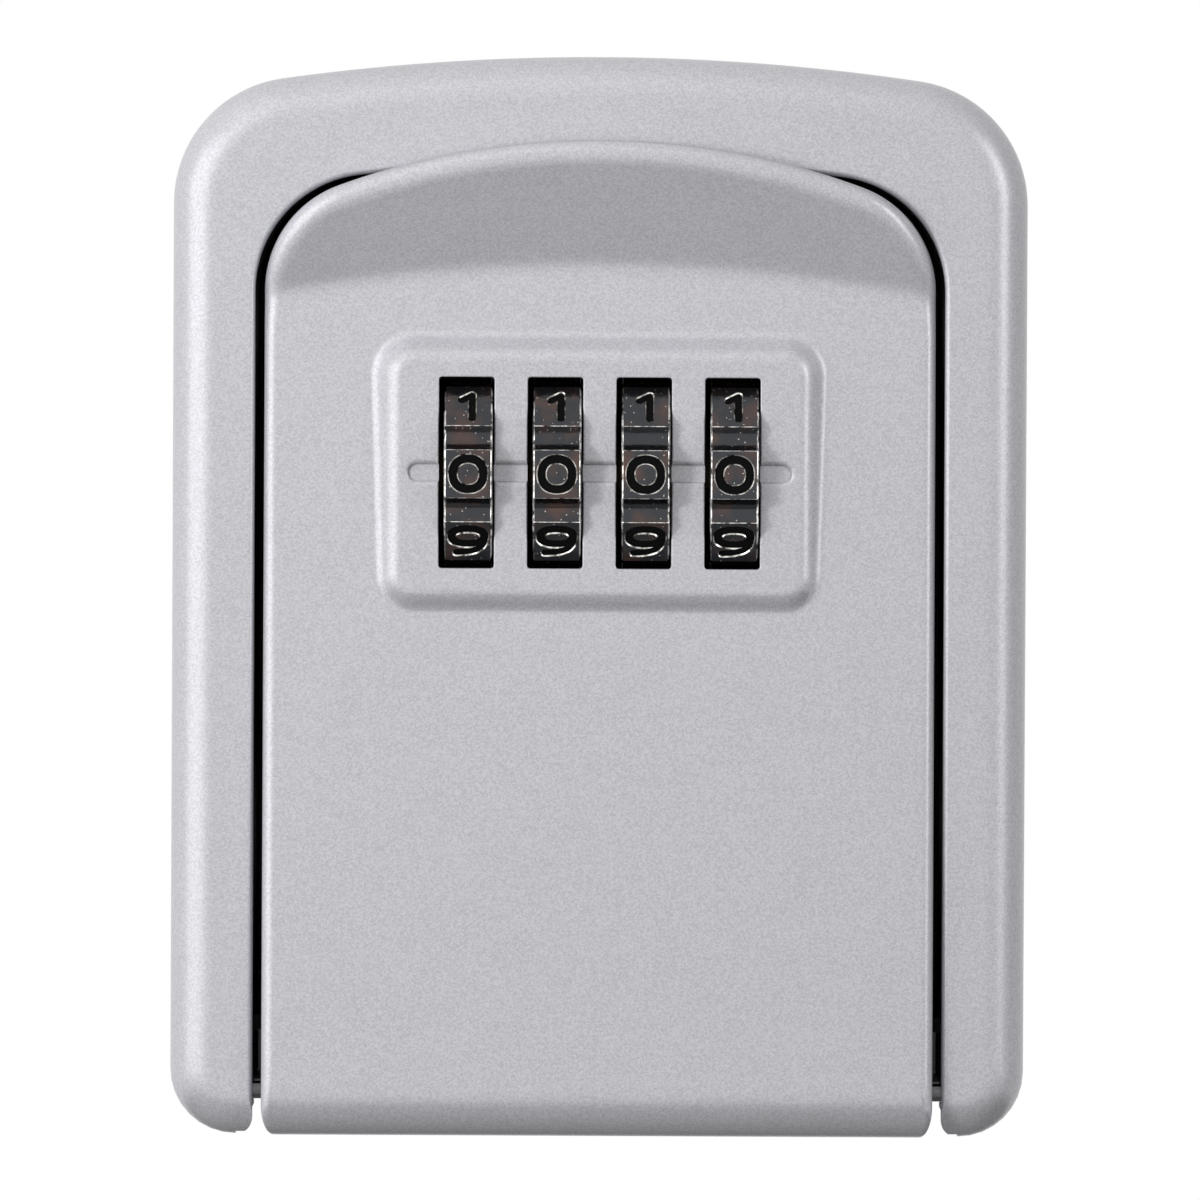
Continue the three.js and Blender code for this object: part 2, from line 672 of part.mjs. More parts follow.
// Hinge pin from cheek to cheek
place(caseGroup, "hinge_pin",
  barX(pinRadius, -openingHalf - pinReach, openingHalf + pinReach, pinDepth, pinHeight), zincSteel);

// Door: a leaning face that rolls under round the pin and swells into the scooped lip
function doorFront(x, z) {
  const face = caseDepth + doorProud;
  if (z < pinHeight) {
    const below = Math.min(pinHeight - z, hingeRound);
    return pinDepth + Math.sqrt(hingeRound * hingeRound - below * below);
  }
  const rise = z + (x * x) / (2 * scoopArchRadius) - scoopHeight;
  const swell = rise <= 0 ? 0
    : rise < scoopBlend ? (scoopSlope * rise * rise) / (2 * scoopBlend)
      : scoopSlope * (rise - scoopBlend / 2);
  return face - doorLean * (z - pinHeight) + swell;
}

const doorOutline = {
  half: doorHalf, foot: 0, footWidth: doorFootWidth, footHeight: doorFootHeight, top: doorTop,
  archRadius: doorArchRadius, corner: doorCorner, flank: flankHeights, across: 5,
};
const skirtLoop = (grow) => openingLoop(grow - doorGap, -1);
const guideSpots = [-guideX, guideX];
const frameScrewSpots = [-1, 1].flatMap((side) =>
  padHeights.map((z) => [side * (frameHalfWidth + footReach - 3), z]));
const coverScrewSpots = [-1, 1].flatMap((side) => coverScrewHeights.map((z) => [side * coverScrewX, z]));
const coverBack = skirtBack;
const coverFront = coverBack + coverThickness;
const wheelBore = hubRadius + hubClearance;
const fadeAtFoot = (z) => Math.min(Math.max(z / pinHeight, 0.15), 1);
{
  const sides = archSides(doorOutline);
  const full = sheetBody(sides, roundEdge(doorEdgeRound, 3),
    (x, z, setback) => doorFront(x, z) - setback * fadeAtFoot(z), () => skirtBack);
  const behindLip = cut(box(-halfWidth, halfWidth, 0, caseDepth + lipClearance, bezelCentre, doorTop + 5),
    prism(skirtLoop(0), 0, farFront));
  const cavitySides = insetSides(archSides({ ...doorOutline, flank: cavityFlank, across: 3 }), doorWall);
  const cavityFront = (x, z) => {
    if (z >= pinHeight) return doorFront(x, z) - doorWall;
    const below = Math.min(pinHeight - z, hingeRound - doorWall);
    return pinDepth + Math.sqrt((hingeRound - doorWall) ** 2 - below * below);
  };
  const cavity = sheetBody(cavitySides, [[0, 0]], cavityFront, () => skirtBack - 2)
    .intersect(prism(skirtLoop(-doorWall), 0, farFront));
  const bezelSides = roundedSides(0, bezelCentre, bezelWidth + 2 * bezelSlope, bezelHeight + 2 * bezelSlope,
    bezelCorner + bezelSlope * 0.6, 3, 2);
  const bezel = sheetBody(bezelSides,
    [[0, bezelSlope], [bezelSlope - 0.35, 0.35], [bezelSlope - 0.15, 0.12], [bezelSlope + 0.2, 0]],
    (x, z, setback) => bezelFace - setback, () => bezelFace - bezelSlope - 0.8);
  const pocket = box(-frameHalfWidth + 0.7, frameHalfWidth - 0.7, skirtBack, bezelFace - bezelPlate,
    bezelCentre - bezelHeight / 2 + 0.4, bezelCentre + bezelHeight / 2 - 0.4);
  const lugs = [-1, 1].map((side) => {
    const [a, b] = [side * (doorHalf - 0.3), side * (doorHalf - doorWall - lugWidth)].sort((p, q) => p - q);
    return join(
      barX(hingeRound - 0.4, a, b, pinDepth, pinHeight),
      box(a, b, pinDepth, pinDepth + hingeRound - 1, pinHeight, lugHeight),
    );
  });
  const column = (x, z, radius, end) =>
    barY(radius, radius, x, z, end, doorFront(x, z) - doorWall + 0.8, 10);
  const columns = [
    ...guideSpots.map((x) => column(x, guideHeight, 3, latchFront + seat + 0.1)),
    ...frameScrewSpots.map(([x, z]) => column(x, z, 2.6, footFront)),
    ...coverScrewSpots.map(([x, z]) => column(x, z, 2.8, coverFront + seat)),
  ];
  const threadHole = (x, z, end) => barY(1.25, 1.25, x, z, end - 1, doorFront(x, z) - doorWall - 0.2, 8);
  const holes = [
    ...guideSpots.map((x) => threadHole(x, guideHeight, latchFront)),
    ...frameScrewSpots.map(([x, z]) => threadHole(x, z, footFront)),
    ...coverScrewSpots.map(([x, z]) => threadHole(x, z, coverFront)),
  ];
  const windows = wheelXs.map((x) => box(x - wheelShift - windowWidth / 2, x - wheelShift + windowWidth / 2,
    skirtBack, bezelFace + 1, windowCentre - windowHeight / 2, windowCentre + windowHeight / 2));
  const grooveShape = [
    ...arc(grooveWidth / 2 - grooveHeight / 2, windowCentre, grooveHeight / 2, -90, 90, 6),
    ...arc(-grooveWidth / 2 + grooveHeight / 2, windowCentre, grooveHeight / 2, 90, 270, 6),
  ];
  const groove = prism(grooveShape, bezelFace - grooveDepth, bezelFace + 1);
  const slot = box(-noseHalfWidth - 0.5, noseHalfWidth + 0.5,
    latchFront - latchThickness - 0.5, noseFront + 0.5,
    openingTop - doorGap - doorWall - 2, doorTop + 1);
  const heel = section([
    ...arc(-pinDepth, pinHeight, skirtHeelRadius, -90, 0, 10).map(([y, z]) => [-y, z]),
    [skirtBack - 2, pinHeight], [skirtBack - 2, pinHeight - skirtHeelRadius - 1],
    [pinDepth, pinHeight - skirtHeelRadius - 1],
  ], -halfWidth, halfWidth);
  const pinHole = barX(pinRadius + 0.15, -halfWidth, halfWidth, pinDepth, pinHeight);
  const shell = cut(
    join(cut(join(cut(full, behindLip), bezel), cavity, pocket), ...lugs, ...columns),
    ...windows, groove, slot, heel, pinHole, ...holes,
  );
  place(doorGroup, "door_shell", shell, silver);
}

// Spindle frame: two cheeks, a web under the wheels, feet on the door and shelves for the springs
const frameInner = frameHalfWidth - frameSheet;
const cheekBack = axisDepth - 4.4;
{
  const cheeks = [-1, 1].map((side) => {
    const [a, b] = [side * frameInner, side * frameHalfWidth].sort((p, q) => p - q);
    const plate = section([
      [footFront, frameWebHeight], [cheekBack + 2.5, frameWebHeight], [cheekBack, frameWebHeight + 8],
      [cheekBack, frameTop - 6], [cheekBack + 3, frameTop], [footFront, frameTop],
    ], a, b);
    const footEdge = side * (frameHalfWidth + footReach);
    const [c, d] = [side * (frameHalfWidth - 0.2), footEdge].sort((p, q) => p - q);
    const shelfEnds = [springShelfHeight, springShelfHeight + frameSheet];
    const foot = box(c, d, footFront - frameSheet, footFront - seat, padHeights[0] - 4, shelfEnds[1]);
    const shelf = box(c, d, axisDepth - 2.4, footFront - seat, ...shelfEnds);
    const post = barZ(springRadius - springWire - 0.15, side * springX, axisDepth,
      springShelfHeight, springShelfHeight + frameSheet + 1.4, 12);
    return join(plate, foot, shelf, post);
  });
  const web = box(-frameHalfWidth, frameHalfWidth, cheekBack + 3.2, footFront,
    frameWebHeight, frameWebHeight + frameSheet);
  const bore = barX(spindleRadius + 0.15, -halfWidth, halfWidth, axisDepth, axisHeight);
  const screwHoles = frameScrewSpots.map(([x, z]) =>
    barY(1.5, 1.5, x, z, footFront - 2 * frameSheet, footFront + 1, 16));
  const rivetHoles = wheelXs.map((x) =>
    barZ(0.85, x, footFront - 1.5, frameWebHeight - 1, frameWebHeight + 2 * frameSheet, 8));
  place(doorGroup, "dial_frame", cut(join(...cheeks, web), bore, ...screwHoles, ...rivetHoles), zincSteel);
  frameScrewSpots.forEach(([x, z], i) => {
    const screw = screwGeometry({
      x, z, head: footFront - frameSheet - seat - screwHeadHeight, headRadius: screwHead,
      headHeight: screwHeadHeight, shankRadius: screwShank, shankEnd: doorFront(x, z) - doorWall - 0.6,
    });
    place(doorGroup, `frame_screw_${i + 1}`, screw, zincSteel);
  });
}

// Leaf springs on the web, each with its nib in the lowest valley of its wheel
{
  const base = frameWebHeight + frameSheet + seat;
  const sheet = 0.4;
  const nib = axisHeight - wheelApothem + 0.05;
  const upper = [
    [footFront - 0.2, base + sheet], [footFront - 3, base + sheet], [axisDepth + 1.1, nib - 0.75],
    [axisDepth + 0.5, nib - 0.15], [axisDepth, nib], [axisDepth - 0.5, nib - 0.15],
    [axisDepth - 1.3, nib - 1],
  ];
  const lower = upper.map(([d, z]) => [d, z - sheet]).reverse();
  const leaf = [...upper, ...lower];
  wheelXs.forEach((x, i) => {
    const spring = cut(section(leaf, x - 2, x + 2),
      barZ(0.85, x, footFront - 1.5, base - 1, base + 2, 8));
    place(doorGroup, `detent_spring_${i + 1}`, spring, springSteel);
    const rivet = join(
      barZ(0.75, x, footFront - 1.5, frameWebHeight - seat, base + sheet + 0.6),
      barZ(1.3, x, footFront - 1.5, base + sheet + seat, base + sheet + 0.6),
      barZ(1.3, x, footFront - 1.5, frameWebHeight - 0.6, frameWebHeight - seat),
    );
    place(doorGroup, `detent_rivet_${i + 1}`, rivet, zincSteel);
  });
}

// Code wheels: ten lands with hollow valleys between, ten notches inside for the clutch
const wheelOutline = [];
for (let i = 0; i < wheelLands; i += 1) {
  const middle = (360 / wheelLands) * i + 180;
  const at = (angle, radius) => new THREE.Vector2(
    radius * Math.cos(radians(angle)), radius * Math.sin(radians(angle)));
  wheelOutline.push(at(middle - landHalf, wheelRadius), at(middle + landHalf, wheelRadius));
  [0.2, 0.5, 0.8].forEach((t) => {
    const dip = valleyDepth * (1 - (2 * t - 1) ** 2) * 1.1;
    wheelOutline.push(at(middle + landHalf + valleyAngle * t, wheelRadius - dip));
  });
}
const notchOutline = [];
for (let i = 0; i < wheelLands; i += 1) {
  const middle = (360 / wheelLands) * i + 180;
  [[-9, wheelBore + notchDepth], [9, wheelBore + notchDepth], [12, wheelBore - 0.5], [24, wheelBore - 0.5]]
    .forEach(([angle, radius]) => notchOutline.push(new THREE.Vector2(
      radius * Math.cos(radians(middle + angle)), radius * Math.sin(radians(middle + angle)))));
}
const notchReach = wheelWidth / 2 - dogOffset + dogWidth / 2 + 0.3;
wheelXs.forEach((x, i) => {
  const centre = new THREE.Vector2(-axisDepth, axisHeight);
  const moved = (points) => new THREE.Shape(points.map((p) => p.clone().add(centre)));
  const wheel = cut(
    section(moved(wheelOutline), x - wheelWidth / 2, x + wheelWidth / 2),
    barX(wheelBore, x - wheelWidth, x + wheelWidth, axisDepth, axisHeight, 20),
    section(moved(notchOutline), x - wheelWidth / 2 - 1, x - wheelWidth / 2 + notchReach),
  );
  place(dialGroup, `dial_${i + 1}`, wheel, blackChrome);
});

// Hubs: a sleeve that the wheel turns on, a dog for its notches and a disc with one gate.
// They are shown shifted to the left, where a new code is set.
const discX = (x) => x - discOffset;
wheelXs.forEach((x, i) => {
  const shifted = x - codeShift;
  const disc = [discX(shifted) - discThickness / 2, discX(shifted) + discThickness / 2];
  const sleeve = barX(hubRadius, disc[0] + 0.3, shifted + wheelPitch - discOffset - discThickness / 2 - 0.45,
    axisDepth, axisHeight, 20);
  const plate = barX(discRadius, disc[0], disc[1], axisDepth, axisHeight, 28);
  const dogSpread = 7;
  const dogShape = [
    ...arc(-axisDepth, axisHeight, dogRadius, 180 - dogSpread, 180 + dogSpread, 3),
    [-axisDepth, axisHeight],
  ].map(([y, z]) => [-y, z]);
  const dog = section(dogShape, shifted - dogOffset - dogWidth / 2, shifted - dogOffset + dogWidth / 2);
  const gate = box(disc[0] - 1, disc[1] + 1, axisDepth - gateWidth / 2, axisDepth + gateWidth / 2,
    axisHeight + discRadius - gateDepth, axisHeight + discRadius + 2);
  const bore = barX(hubBore, -halfWidth, halfWidth, axisDepth, axisHeight, 12);
  place(dialGroup, `hub_${i + 1}`, cut(join(sleeve, plate, dog), gate, bore), brass);
});

// Spindle with a head at the left and a groove for its clip, and the lever that shifts it
const hubsRight = wheelXs[wheelCount - 1] + wheelPitch - discOffset - discThickness / 2 - 0.45 - codeShift;
const leverX = hubsRight + leverGap;
{
  const spindleEnds = [-frameHalfWidth - codeShift - 0.6, frameHalfWidth - 0.4];
  const spindle = cut(
    join(
      barX(spindleRadius, spindleEnds[0], spindleEnds[1], axisDepth, axisHeight, 12),
      barX(spindleRadius + 1, hubsLeft - 0.35, hubsLeft - 0.05, axisDepth, axisHeight, 12),
    ),
    cut(barX(spindleRadius + 1, leverX - 0.1, leverX + leverWidth + 0.1, axisDepth, axisHeight),
      barX(spindleRadius - 0.5, leverX - 1, leverX + leverWidth + 1, axisDepth, axisHeight)),
    cut(barX(spindleRadius + 1, hubsRight + 0.2, hubsRight + 0.8, axisDepth, axisHeight),
      barX(spindleRadius - 0.5, hubsRight - 1, hubsRight + 2, axisDepth, axisHeight)),
  );
  place(dialGroup, "code_spindle", spindle, zincSteel);
  const clip = cut(
    barX(spindleRadius + 1.4, hubsRight + 0.25, hubsRight + 0.75, axisDepth, axisHeight),
    barX(spindleRadius - 0.4, hubsRight, hubsRight + 1, axisDepth, axisHeight),
    box(hubsRight, hubsRight + 1, axisDepth - 1, axisDepth + 1, axisHeight - spindleRadius - 2, axisHeight),
  );
  place(dialGroup, "spindle_clip", clip, springSteel);
  const grip = spindleRadius - 0.4;
  const knobBack = housingBack - leverKnobReach;
  const fork = section([
    [axisDepth + 2.8, axisHeight + leverForkHalf], [axisDepth + 2.8, axisHeight - leverForkHalf],
    [axisDepth - 1, axisHeight - leverForkHalf], [axisDepth - leverNeck, axisHeight - leverNeckHalf],
    [knobBack, axisHeight - leverNeckHalf], [knobBack, axisHeight + leverNeckHalf],
    [axisDepth - leverNeck, axisHeight + leverNeckHalf], [axisDepth - 1, axisHeight + leverForkHalf],
  ], leverX, leverX + leverWidth);
  const mouth = join(
    barX(grip, leverX - 1, leverX + leverWidth + 1, axisDepth, axisHeight),
    box(leverX - 1, leverX + leverWidth + 1, axisDepth, axisDepth + 5,
      axisHeight - grip + 0.2, axisHeight + grip - 0.2),
  );
  const knob = box(leverX - 0.8, leverX + leverWidth + 0.8, knobBack - 0.6, housingBack - 0.4,
    axisHeight - leverKnobHalf, axisHeight + leverKnobHalf);
  place(dialGroup, "code_lever", join(cut(fork, mouth), knob), blackPlastic);
}

// Latch: a bar over the wheels with a finger for each gate disc and a ramped nose
{
  const back = latchFront - latchThickness;
  const bar = join(
    box(-latchHalfWidth, latchHalfWidth, back, latchFront, latchBottom, latchTop),
    box(-latchArmReach, latchArmReach, back, latchFront, latchBottom, latchBottom + latchArmHeight),
  );
  const fingerTip = axisHeight + discRadius - gateDepth + fingerGateGap;
  const fingers = wheelXs.map((x) => box(discX(x) - fingerWidth / 2, discX(x) + fingerWidth / 2,
    back, latchFront, fingerTip, latchBottom + 1));
  const nose = section([
    [noseFront, latchTop - 2], [noseFront, noseTop - noseRamp], [noseFront - noseRamp, noseTop],
    [back + noseRamp, noseTop], [back, noseTop - noseRamp], [back, latchTop - 2],
  ], -noseHalfWidth, noseHalfWidth);
  const posts = [-1, 1].map((side) => barZ(springRadius - springWire - 0.15, side * springX, axisDepth,
    latchBottom - 1.4, latchBottom + 1, 12));
  const slots = guideSpots.map((x) => join(
    barY(guideRadius + 0.2, guideRadius + 0.2, x, guideHeight, back - 1, latchFront + 1, 20),
    barY(guideRadius + 0.2, guideRadius + 0.2, x, guideHeight - latchTravel, back - 1, latchFront + 1, 20),
    box(x - guideRadius - 0.2, x + guideRadius + 0.2, back - 1, latchFront + 1,
      guideHeight - latchTravel, guideHeight),
  ));
  place(latchGroup, "latch_bar", cut(join(bar, ...fingers, nose, ...posts), ...slots), zincSteel);
  const under = back - seat * 2;
  guideSpots.forEach((x, i) => {
    const profile = [
      [0, 1.1 - under], [2.4, 1.1 - under], [3, 0.6 - under], [3, -under], [guideRadius, -under],
      [guideRadius, -latchFront], [screwShank, -latchFront], [screwShank, -latchFront - 2.6],
      [0, -latchFront - 2.6],
    ];
    const screw = new THREE.LatheGeometry(profile.map(([r, y]) => new THREE.Vector2(r, y)), 10);
    screw.translate(x, 0, guideHeight);
    place(doorGroup, `guide_screw_${i + 1}`, solidOf(screw), zincSteel);
  });
}

// Compression springs under the latch, each one unbroken wire with its ends closed up
const springBottom = springShelfHeight + frameSheet + seat;
const springTop = latchBottom - seat;
class Helix extends THREE.Curve {
  constructor(radius, bottom, top, turns) {
    super();
    Object.assign(this, { radius, bottom, top, turns });
  }

  getPoint(t, target = new THREE.Vector3()) {
    const angle = 2 * Math.PI * this.turns * t;
    return target.set(this.radius * Math.cos(angle), this.radius * Math.sin(angle),
      this.bottom + (this.top - this.bottom) * t);
  }
}
{
  const wire = springWire / 2;
  const [low, high] = [springBottom + wire + 0.1, springTop - wire - 0.1];
  const coilRadius = springRadius - wire;
  const section5 = new THREE.Shape(Array.from({ length: 5 }, (_, i) => new THREE.Vector2(
    wire * Math.cos((2 * Math.PI * i) / 5), wire * Math.sin((2 * Math.PI * i) / 5))));
  [-1, 1].forEach((side, i) => {
    const geometry = new THREE.ExtrudeGeometry(section5, {
      steps: springTurns * 8, extrudePath: new Helix(coilRadius, low, high, springTurns), bevelEnabled: false,
    });
    geometry.translate(side * springX, -axisDepth, 0);
    place(latchGroup, `latch_spring_${i + 1}`, solidOf(geometry), springSteel);
  });
}

// Inner cover of the door: a plate between the skirts with a housing over the wheels
{
  const plate = prism(openingLoop(-doorGap - doorWall - slip, coverBottom), coverBack, coverFront);
  const [height, middle] = [housingTop - housingBottom, (housingTop + housingBottom) / 2];
  const housing = (shrink, back, front) => {
    const sides = roundedSides(0, middle, 2 * (housingHalfWidth - shrink), height - 2 * shrink,
      housingCorner - shrink * 0.6, 2, 2);
    const round = Math.max(housingCorner * 0.45 - shrink * 0.5, 0.6);
    return sheetBody(sides, roundEdge(round, 2), (x, z, setback) => back + setback, () => front);
  };
  const outer = housing(0, housingBack, coverFront);
  const inner = housing(coverThickness, housingBack + coverThickness, coverFront + 1);
  const slotHalf = leverKnobHalf + 0.6;
  const leverSlot = box(leverX - 1.6, leverX + codeShift + leverWidth + 1.6, housingBack - 1,
    housingBack + coverThickness + 1, axisHeight - slotHalf, axisHeight + slotHalf);
  const screwHoles = coverScrewSpots.map(([x, z]) => barY(1.5, 1.5, x, z, coverBack - 1, coverFront + 1, 16));
  place(doorGroup, "inner_cover", cut(join(plate, outer), inner, leverSlot, ...screwHoles), blackPlastic);
  coverScrewSpots.forEach(([x, z], i) => {
    const screw = screwGeometry({
      x, z, head: coverBack - seat - screwHeadHeight, headRadius: screwHead, headHeight: screwHeadHeight,
      shankRadius: screwShank, shankEnd: doorFront(x, z) - doorWall - 0.6,
    });
    place(doorGroup, `cover_screw_${i + 1}`, screw, zincSteel);
  });
}

export default safe;
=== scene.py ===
import json
import math
import bmesh
import bpy
from mathutils import Matrix, Vector

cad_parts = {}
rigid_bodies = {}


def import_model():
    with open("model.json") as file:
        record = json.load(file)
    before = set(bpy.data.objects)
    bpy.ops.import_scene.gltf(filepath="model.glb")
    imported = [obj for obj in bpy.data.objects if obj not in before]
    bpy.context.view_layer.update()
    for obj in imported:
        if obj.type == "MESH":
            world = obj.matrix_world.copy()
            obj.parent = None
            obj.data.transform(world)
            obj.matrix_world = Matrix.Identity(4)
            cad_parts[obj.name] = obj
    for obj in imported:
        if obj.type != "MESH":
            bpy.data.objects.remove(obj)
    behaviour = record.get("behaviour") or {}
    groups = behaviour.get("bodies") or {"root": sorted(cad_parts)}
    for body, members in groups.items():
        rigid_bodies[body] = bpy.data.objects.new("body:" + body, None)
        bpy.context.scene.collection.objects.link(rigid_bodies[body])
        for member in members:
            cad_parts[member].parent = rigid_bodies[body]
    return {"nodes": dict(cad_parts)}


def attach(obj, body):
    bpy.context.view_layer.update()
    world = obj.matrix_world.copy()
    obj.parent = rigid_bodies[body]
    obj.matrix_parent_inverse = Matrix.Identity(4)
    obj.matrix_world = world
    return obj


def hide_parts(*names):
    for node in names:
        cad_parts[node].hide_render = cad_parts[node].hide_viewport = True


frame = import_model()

scene = bpy.context.scene
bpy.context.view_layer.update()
nodes = frame["nodes"]
mm = 0.001
mountHeight = 62  # centre of the wall screws above the bottom edge, mm
print("frame loaded:", len(nodes), "nodes")

# Materials


def linear(hexColour):
    parts = [int(hexColour[i:i + 2], 16) / 255 for i in (0, 2, 4)]
    return tuple(p / 12.92 if p <= 0.04045 else ((p + 0.055) / 1.055) ** 2.4 for p in parts) + (1.0,)


def addNode(tree, kind, inputs=None, **settings):
    node = tree.nodes.new(kind)
    for name, value in settings.items():
        setattr(node, name, value)
    for name, value in (inputs or {}).items():
        if isinstance(value, bpy.types.NodeSocket):
            tree.links.new(value, node.inputs[name])
        else:
            node.inputs[name].default_value = value
    return node


def newMaterial(name, constants):
    material = bpy.data.materials.new(name)
    material.use_nodes = True
    tree = material.node_tree
    shader = tree.nodes["Principled BSDF"]
    for socket, value in constants.items():
        shader.inputs[socket].default_value = value
    place = addNode(tree, "ShaderNodeTexCoord").outputs["Object"]
    return material, tree, shader, place


def pattern(tree, place, grainMm, kind="Noise", **inputs):
    inputs = {"Vector": place, "Scale": 1 / (grainMm * mm), **inputs}
    return addNode(tree, "ShaderNodeTex" + kind, inputs).outputs


def noise(tree, place, grainMm, detail):
    return pattern(tree, place, grainMm, Detail=detail)["Fac"]


def maths(tree, operation, *values):
    return addNode(tree, "ShaderNodeMath", dict(enumerate(values)), operation=operation).outputs[0]


def colourBlend(tree, factor, low, high, start=0.0, end=1.0):
    ramp = addNode(tree, "ShaderNodeValToRGB", {"Fac": factor})
    for stop, position, colour in zip(ramp.color_ramp.elements, (start, end), (low, high)):
        stop.position = position
        stop.color = linear(colour)
    return ramp.outputs["Color"]


def roughRange(tree, factor, low, high, start=0.0, end=1.0):
    inputs = {"Value": factor, "From Min": start, "From Max": end, "To Min": low, "To Max": high}
    return addNode(tree, "ShaderNodeMapRange", inputs).outputs["Result"]


def bumpFrom(tree, height, strength, reachMm, **below):
    inputs = {"Height": height, "Strength": strength, "Distance": reachMm * mm, **below}
    return addNode(tree, "ShaderNodeBump", inputs).outputs["Normal"]


def connect(tree, shader, colour, roughness=None, normal=None):
    for socket, source in (("Base Color", colour), ("Roughness", roughness), ("Normal", normal)):
        if source is not None:
            tree.links.new(source, shader.inputs[socket])


# Satin metallic lacquer sprayed on die-cast zinc: an even cool silver with fine aluminium flake
paintLook = {"low": "aeaeb3", "high": "c6c6cb", "metallic": 0.3, "flakeMm": 0.16, "grain": 0.1,
             "mottleMm": 9, "mottle": 0.2, "orangePeelMm": 2.6, "roughLow": 0.29, "roughHigh": 0.37,
             "coat": 0.12, "coatRoughness": 0.3}
silverPaint, tree, shader, place = newMaterial("satin_silver_lacquer", {
    "Metallic": paintLook["metallic"], "Coat Weight": paintLook["coat"],
    "Coat Roughness": paintLook["coatRoughness"]})
flake = pattern(tree, place, paintLook["flakeMm"], "Voronoi")["Color"]
flakeTone = addNode(tree, "ShaderNodeSeparateColor", {"Color": flake}).outputs
mottle = noise(tree, place, paintLook["mottleMm"], 3.0)
mixed = maths(tree, "MULTIPLY_ADD", mottle, paintLook["mottle"], flakeTone["Red"])
peelBump = bumpFrom(tree, noise(tree, place, paintLook["orangePeelMm"], 1.0), 0.05, 0.1)
connect(tree, shader, colourBlend(tree, mixed, paintLook["low"], paintLook["high"]),
        roughRange(tree, mottle, paintLook["roughLow"], paintLook["roughHigh"]),
        bumpFrom(tree, flakeTone["Green"], paintLook["grain"], 0.03, Normal=peelBump))

# Black chrome plating on turned zinc: a near-black mirror, with warm brown patches of painted reflection
# and tiny bright specks of painted glint
chromeLook = {"cool": "444649", "warm": "604f4a", "paintedReflectionMm": 3.4, "paintedGlint": "c8c2ba", "paintedGlintMm": 0.18,
              "paintedGlintShare": 0.022, "paintedGlintSize": 0.42, "pitMm": 0.6, "pitBump": 0.5}
blackChrome, tree, shader, place = newMaterial("black_chrome_plating", {"Metallic": 1.0})
# painted reflection: noise patches shift the base colour from cool grey to warm brown
reflectionPatches = noise(tree, place, chromeLook["paintedReflectionMm"], 4.0)
paintedReflectionTone = colourBlend(tree, reflectionPatches, chromeLook["cool"], chromeLook["warm"], 0.48, 0.7)
# painted glints: a few tiny cells of the base colour are set pale
glintCells = pattern(tree, place, chromeLook["paintedGlintMm"], "Voronoi")
glintPick = addNode(tree, "ShaderNodeSeparateColor", {"Color": glintCells["Color"]}).outputs["Blue"]
rare = maths(tree, "GREATER_THAN", glintPick, 1 - chromeLook["paintedGlintShare"])
small = maths(tree, "LESS_THAN", glintCells["Distance"], chromeLook["paintedGlintSize"])
tone = addNode(tree, "ShaderNodeMix", {0: maths(tree, "MULTIPLY", rare, small), 6: paintedReflectionTone,
                                       7: linear(chromeLook["paintedGlint"])}, data_type="RGBA").outputs[2]
pits = noise(tree, place, chromeLook["pitMm"], 2.0)
connect(tree, shader, tone, roughRange(tree, pits, 0.13, 0.3, 0.35, 0.75),
        bumpFrom(tree, pits, chromeLook["pitBump"], 0.06))

# Painted highlight: bright chrome given to the wheel edges, the corners of the lands and the rims of the
# digits, for the light they catch
edgeHighlightLook = {"dull": "35322e", "bright": "f0ede8", "patchMm": 0.9, "roughness": 0.22}
highlightChrome, tree, shader, place = newMaterial("painted_highlight_chrome", {
    "Metallic": 1.0, "Roughness": edgeHighlightLook["roughness"]})
patches = noise(tree, place, edgeHighlightLook["patchMm"], 3.0)
connect(tree, shader, colourBlend(tree, patches, edgeHighlightLook["dull"], edgeHighlightLook["bright"], 0.37, 0.57))

# Black enamel wiped into the engraved digits: dead matt
digitInk, tree, shader, place = newMaterial("matt_black_enamel", {
    "Roughness": 0.8, "Specular IOR Level": 0.1})
connect(tree, shader, colourBlend(tree, noise(tree, place, 0.4, 2.0), "030304", "090909"))

# Moulded black nylon: spark-eroded texture, soft sheen
plasticLook = {"low": "171718", "high": "202022", "grainMm": 0.35, "cloudMm": 14}
blackPlastic, tree, shader, place = newMaterial("moulded_black_nylon", {})
grain = noise(tree, place, plasticLook["grainMm"], 2.0)
cloud = noise(tree, place, plasticLook["cloudMm"], 2.0)
connect(tree, shader, colourBlend(tree, cloud, plasticLook["low"], plasticLook["high"]),
        roughRange(tree, grain, 0.48, 0.66), bumpFrom(tree, grain, 0.35, 0.06))

# Bright zinc plating on pressed steel: pale blue-grey with rolling lines and a faint passivated cloud
zincLook = {"low": "a0a3a7", "high": "b6b8bb", "lineMm": 0.25, "lineStretch": 20, "cloudMm": 5}
zincSteel, tree, shader, place = newMaterial("zinc_plated_steel", {"Metallic": 1.0})
stretch = (1 / zincLook["lineStretch"], 1, 1)
lines = addNode(tree, "ShaderNodeMapping", {"Vector": place, "Scale": stretch}).outputs["Vector"]
rollMarks = noise(tree, lines, zincLook["lineMm"], 3.0)
cloud = noise(tree, place, zincLook["cloudMm"], 8.0)
average = maths(tree, "MULTIPLY", maths(tree, "ADD", cloud, rollMarks), 0.5)
connect(tree, shader, colourBlend(tree, average, zincLook["low"], zincLook["high"], 0.3, 0.7),
        roughRange(tree, rollMarks, 0.26, 0.42), bumpFrom(tree, rollMarks, 0.1, 0.02))

# Drawn spring steel: brighter, with faint lines along the strip
springSteel, tree, shader, place = newMaterial("drawn_spring_steel", {"Metallic": 1.0})
drawn = noise(tree, place, 0.6, 3.0)
connect(tree, shader, colourBlend(tree, drawn, "a4a5a6", "c8c9ca"), roughRange(tree, drawn, 0.18, 0.32))
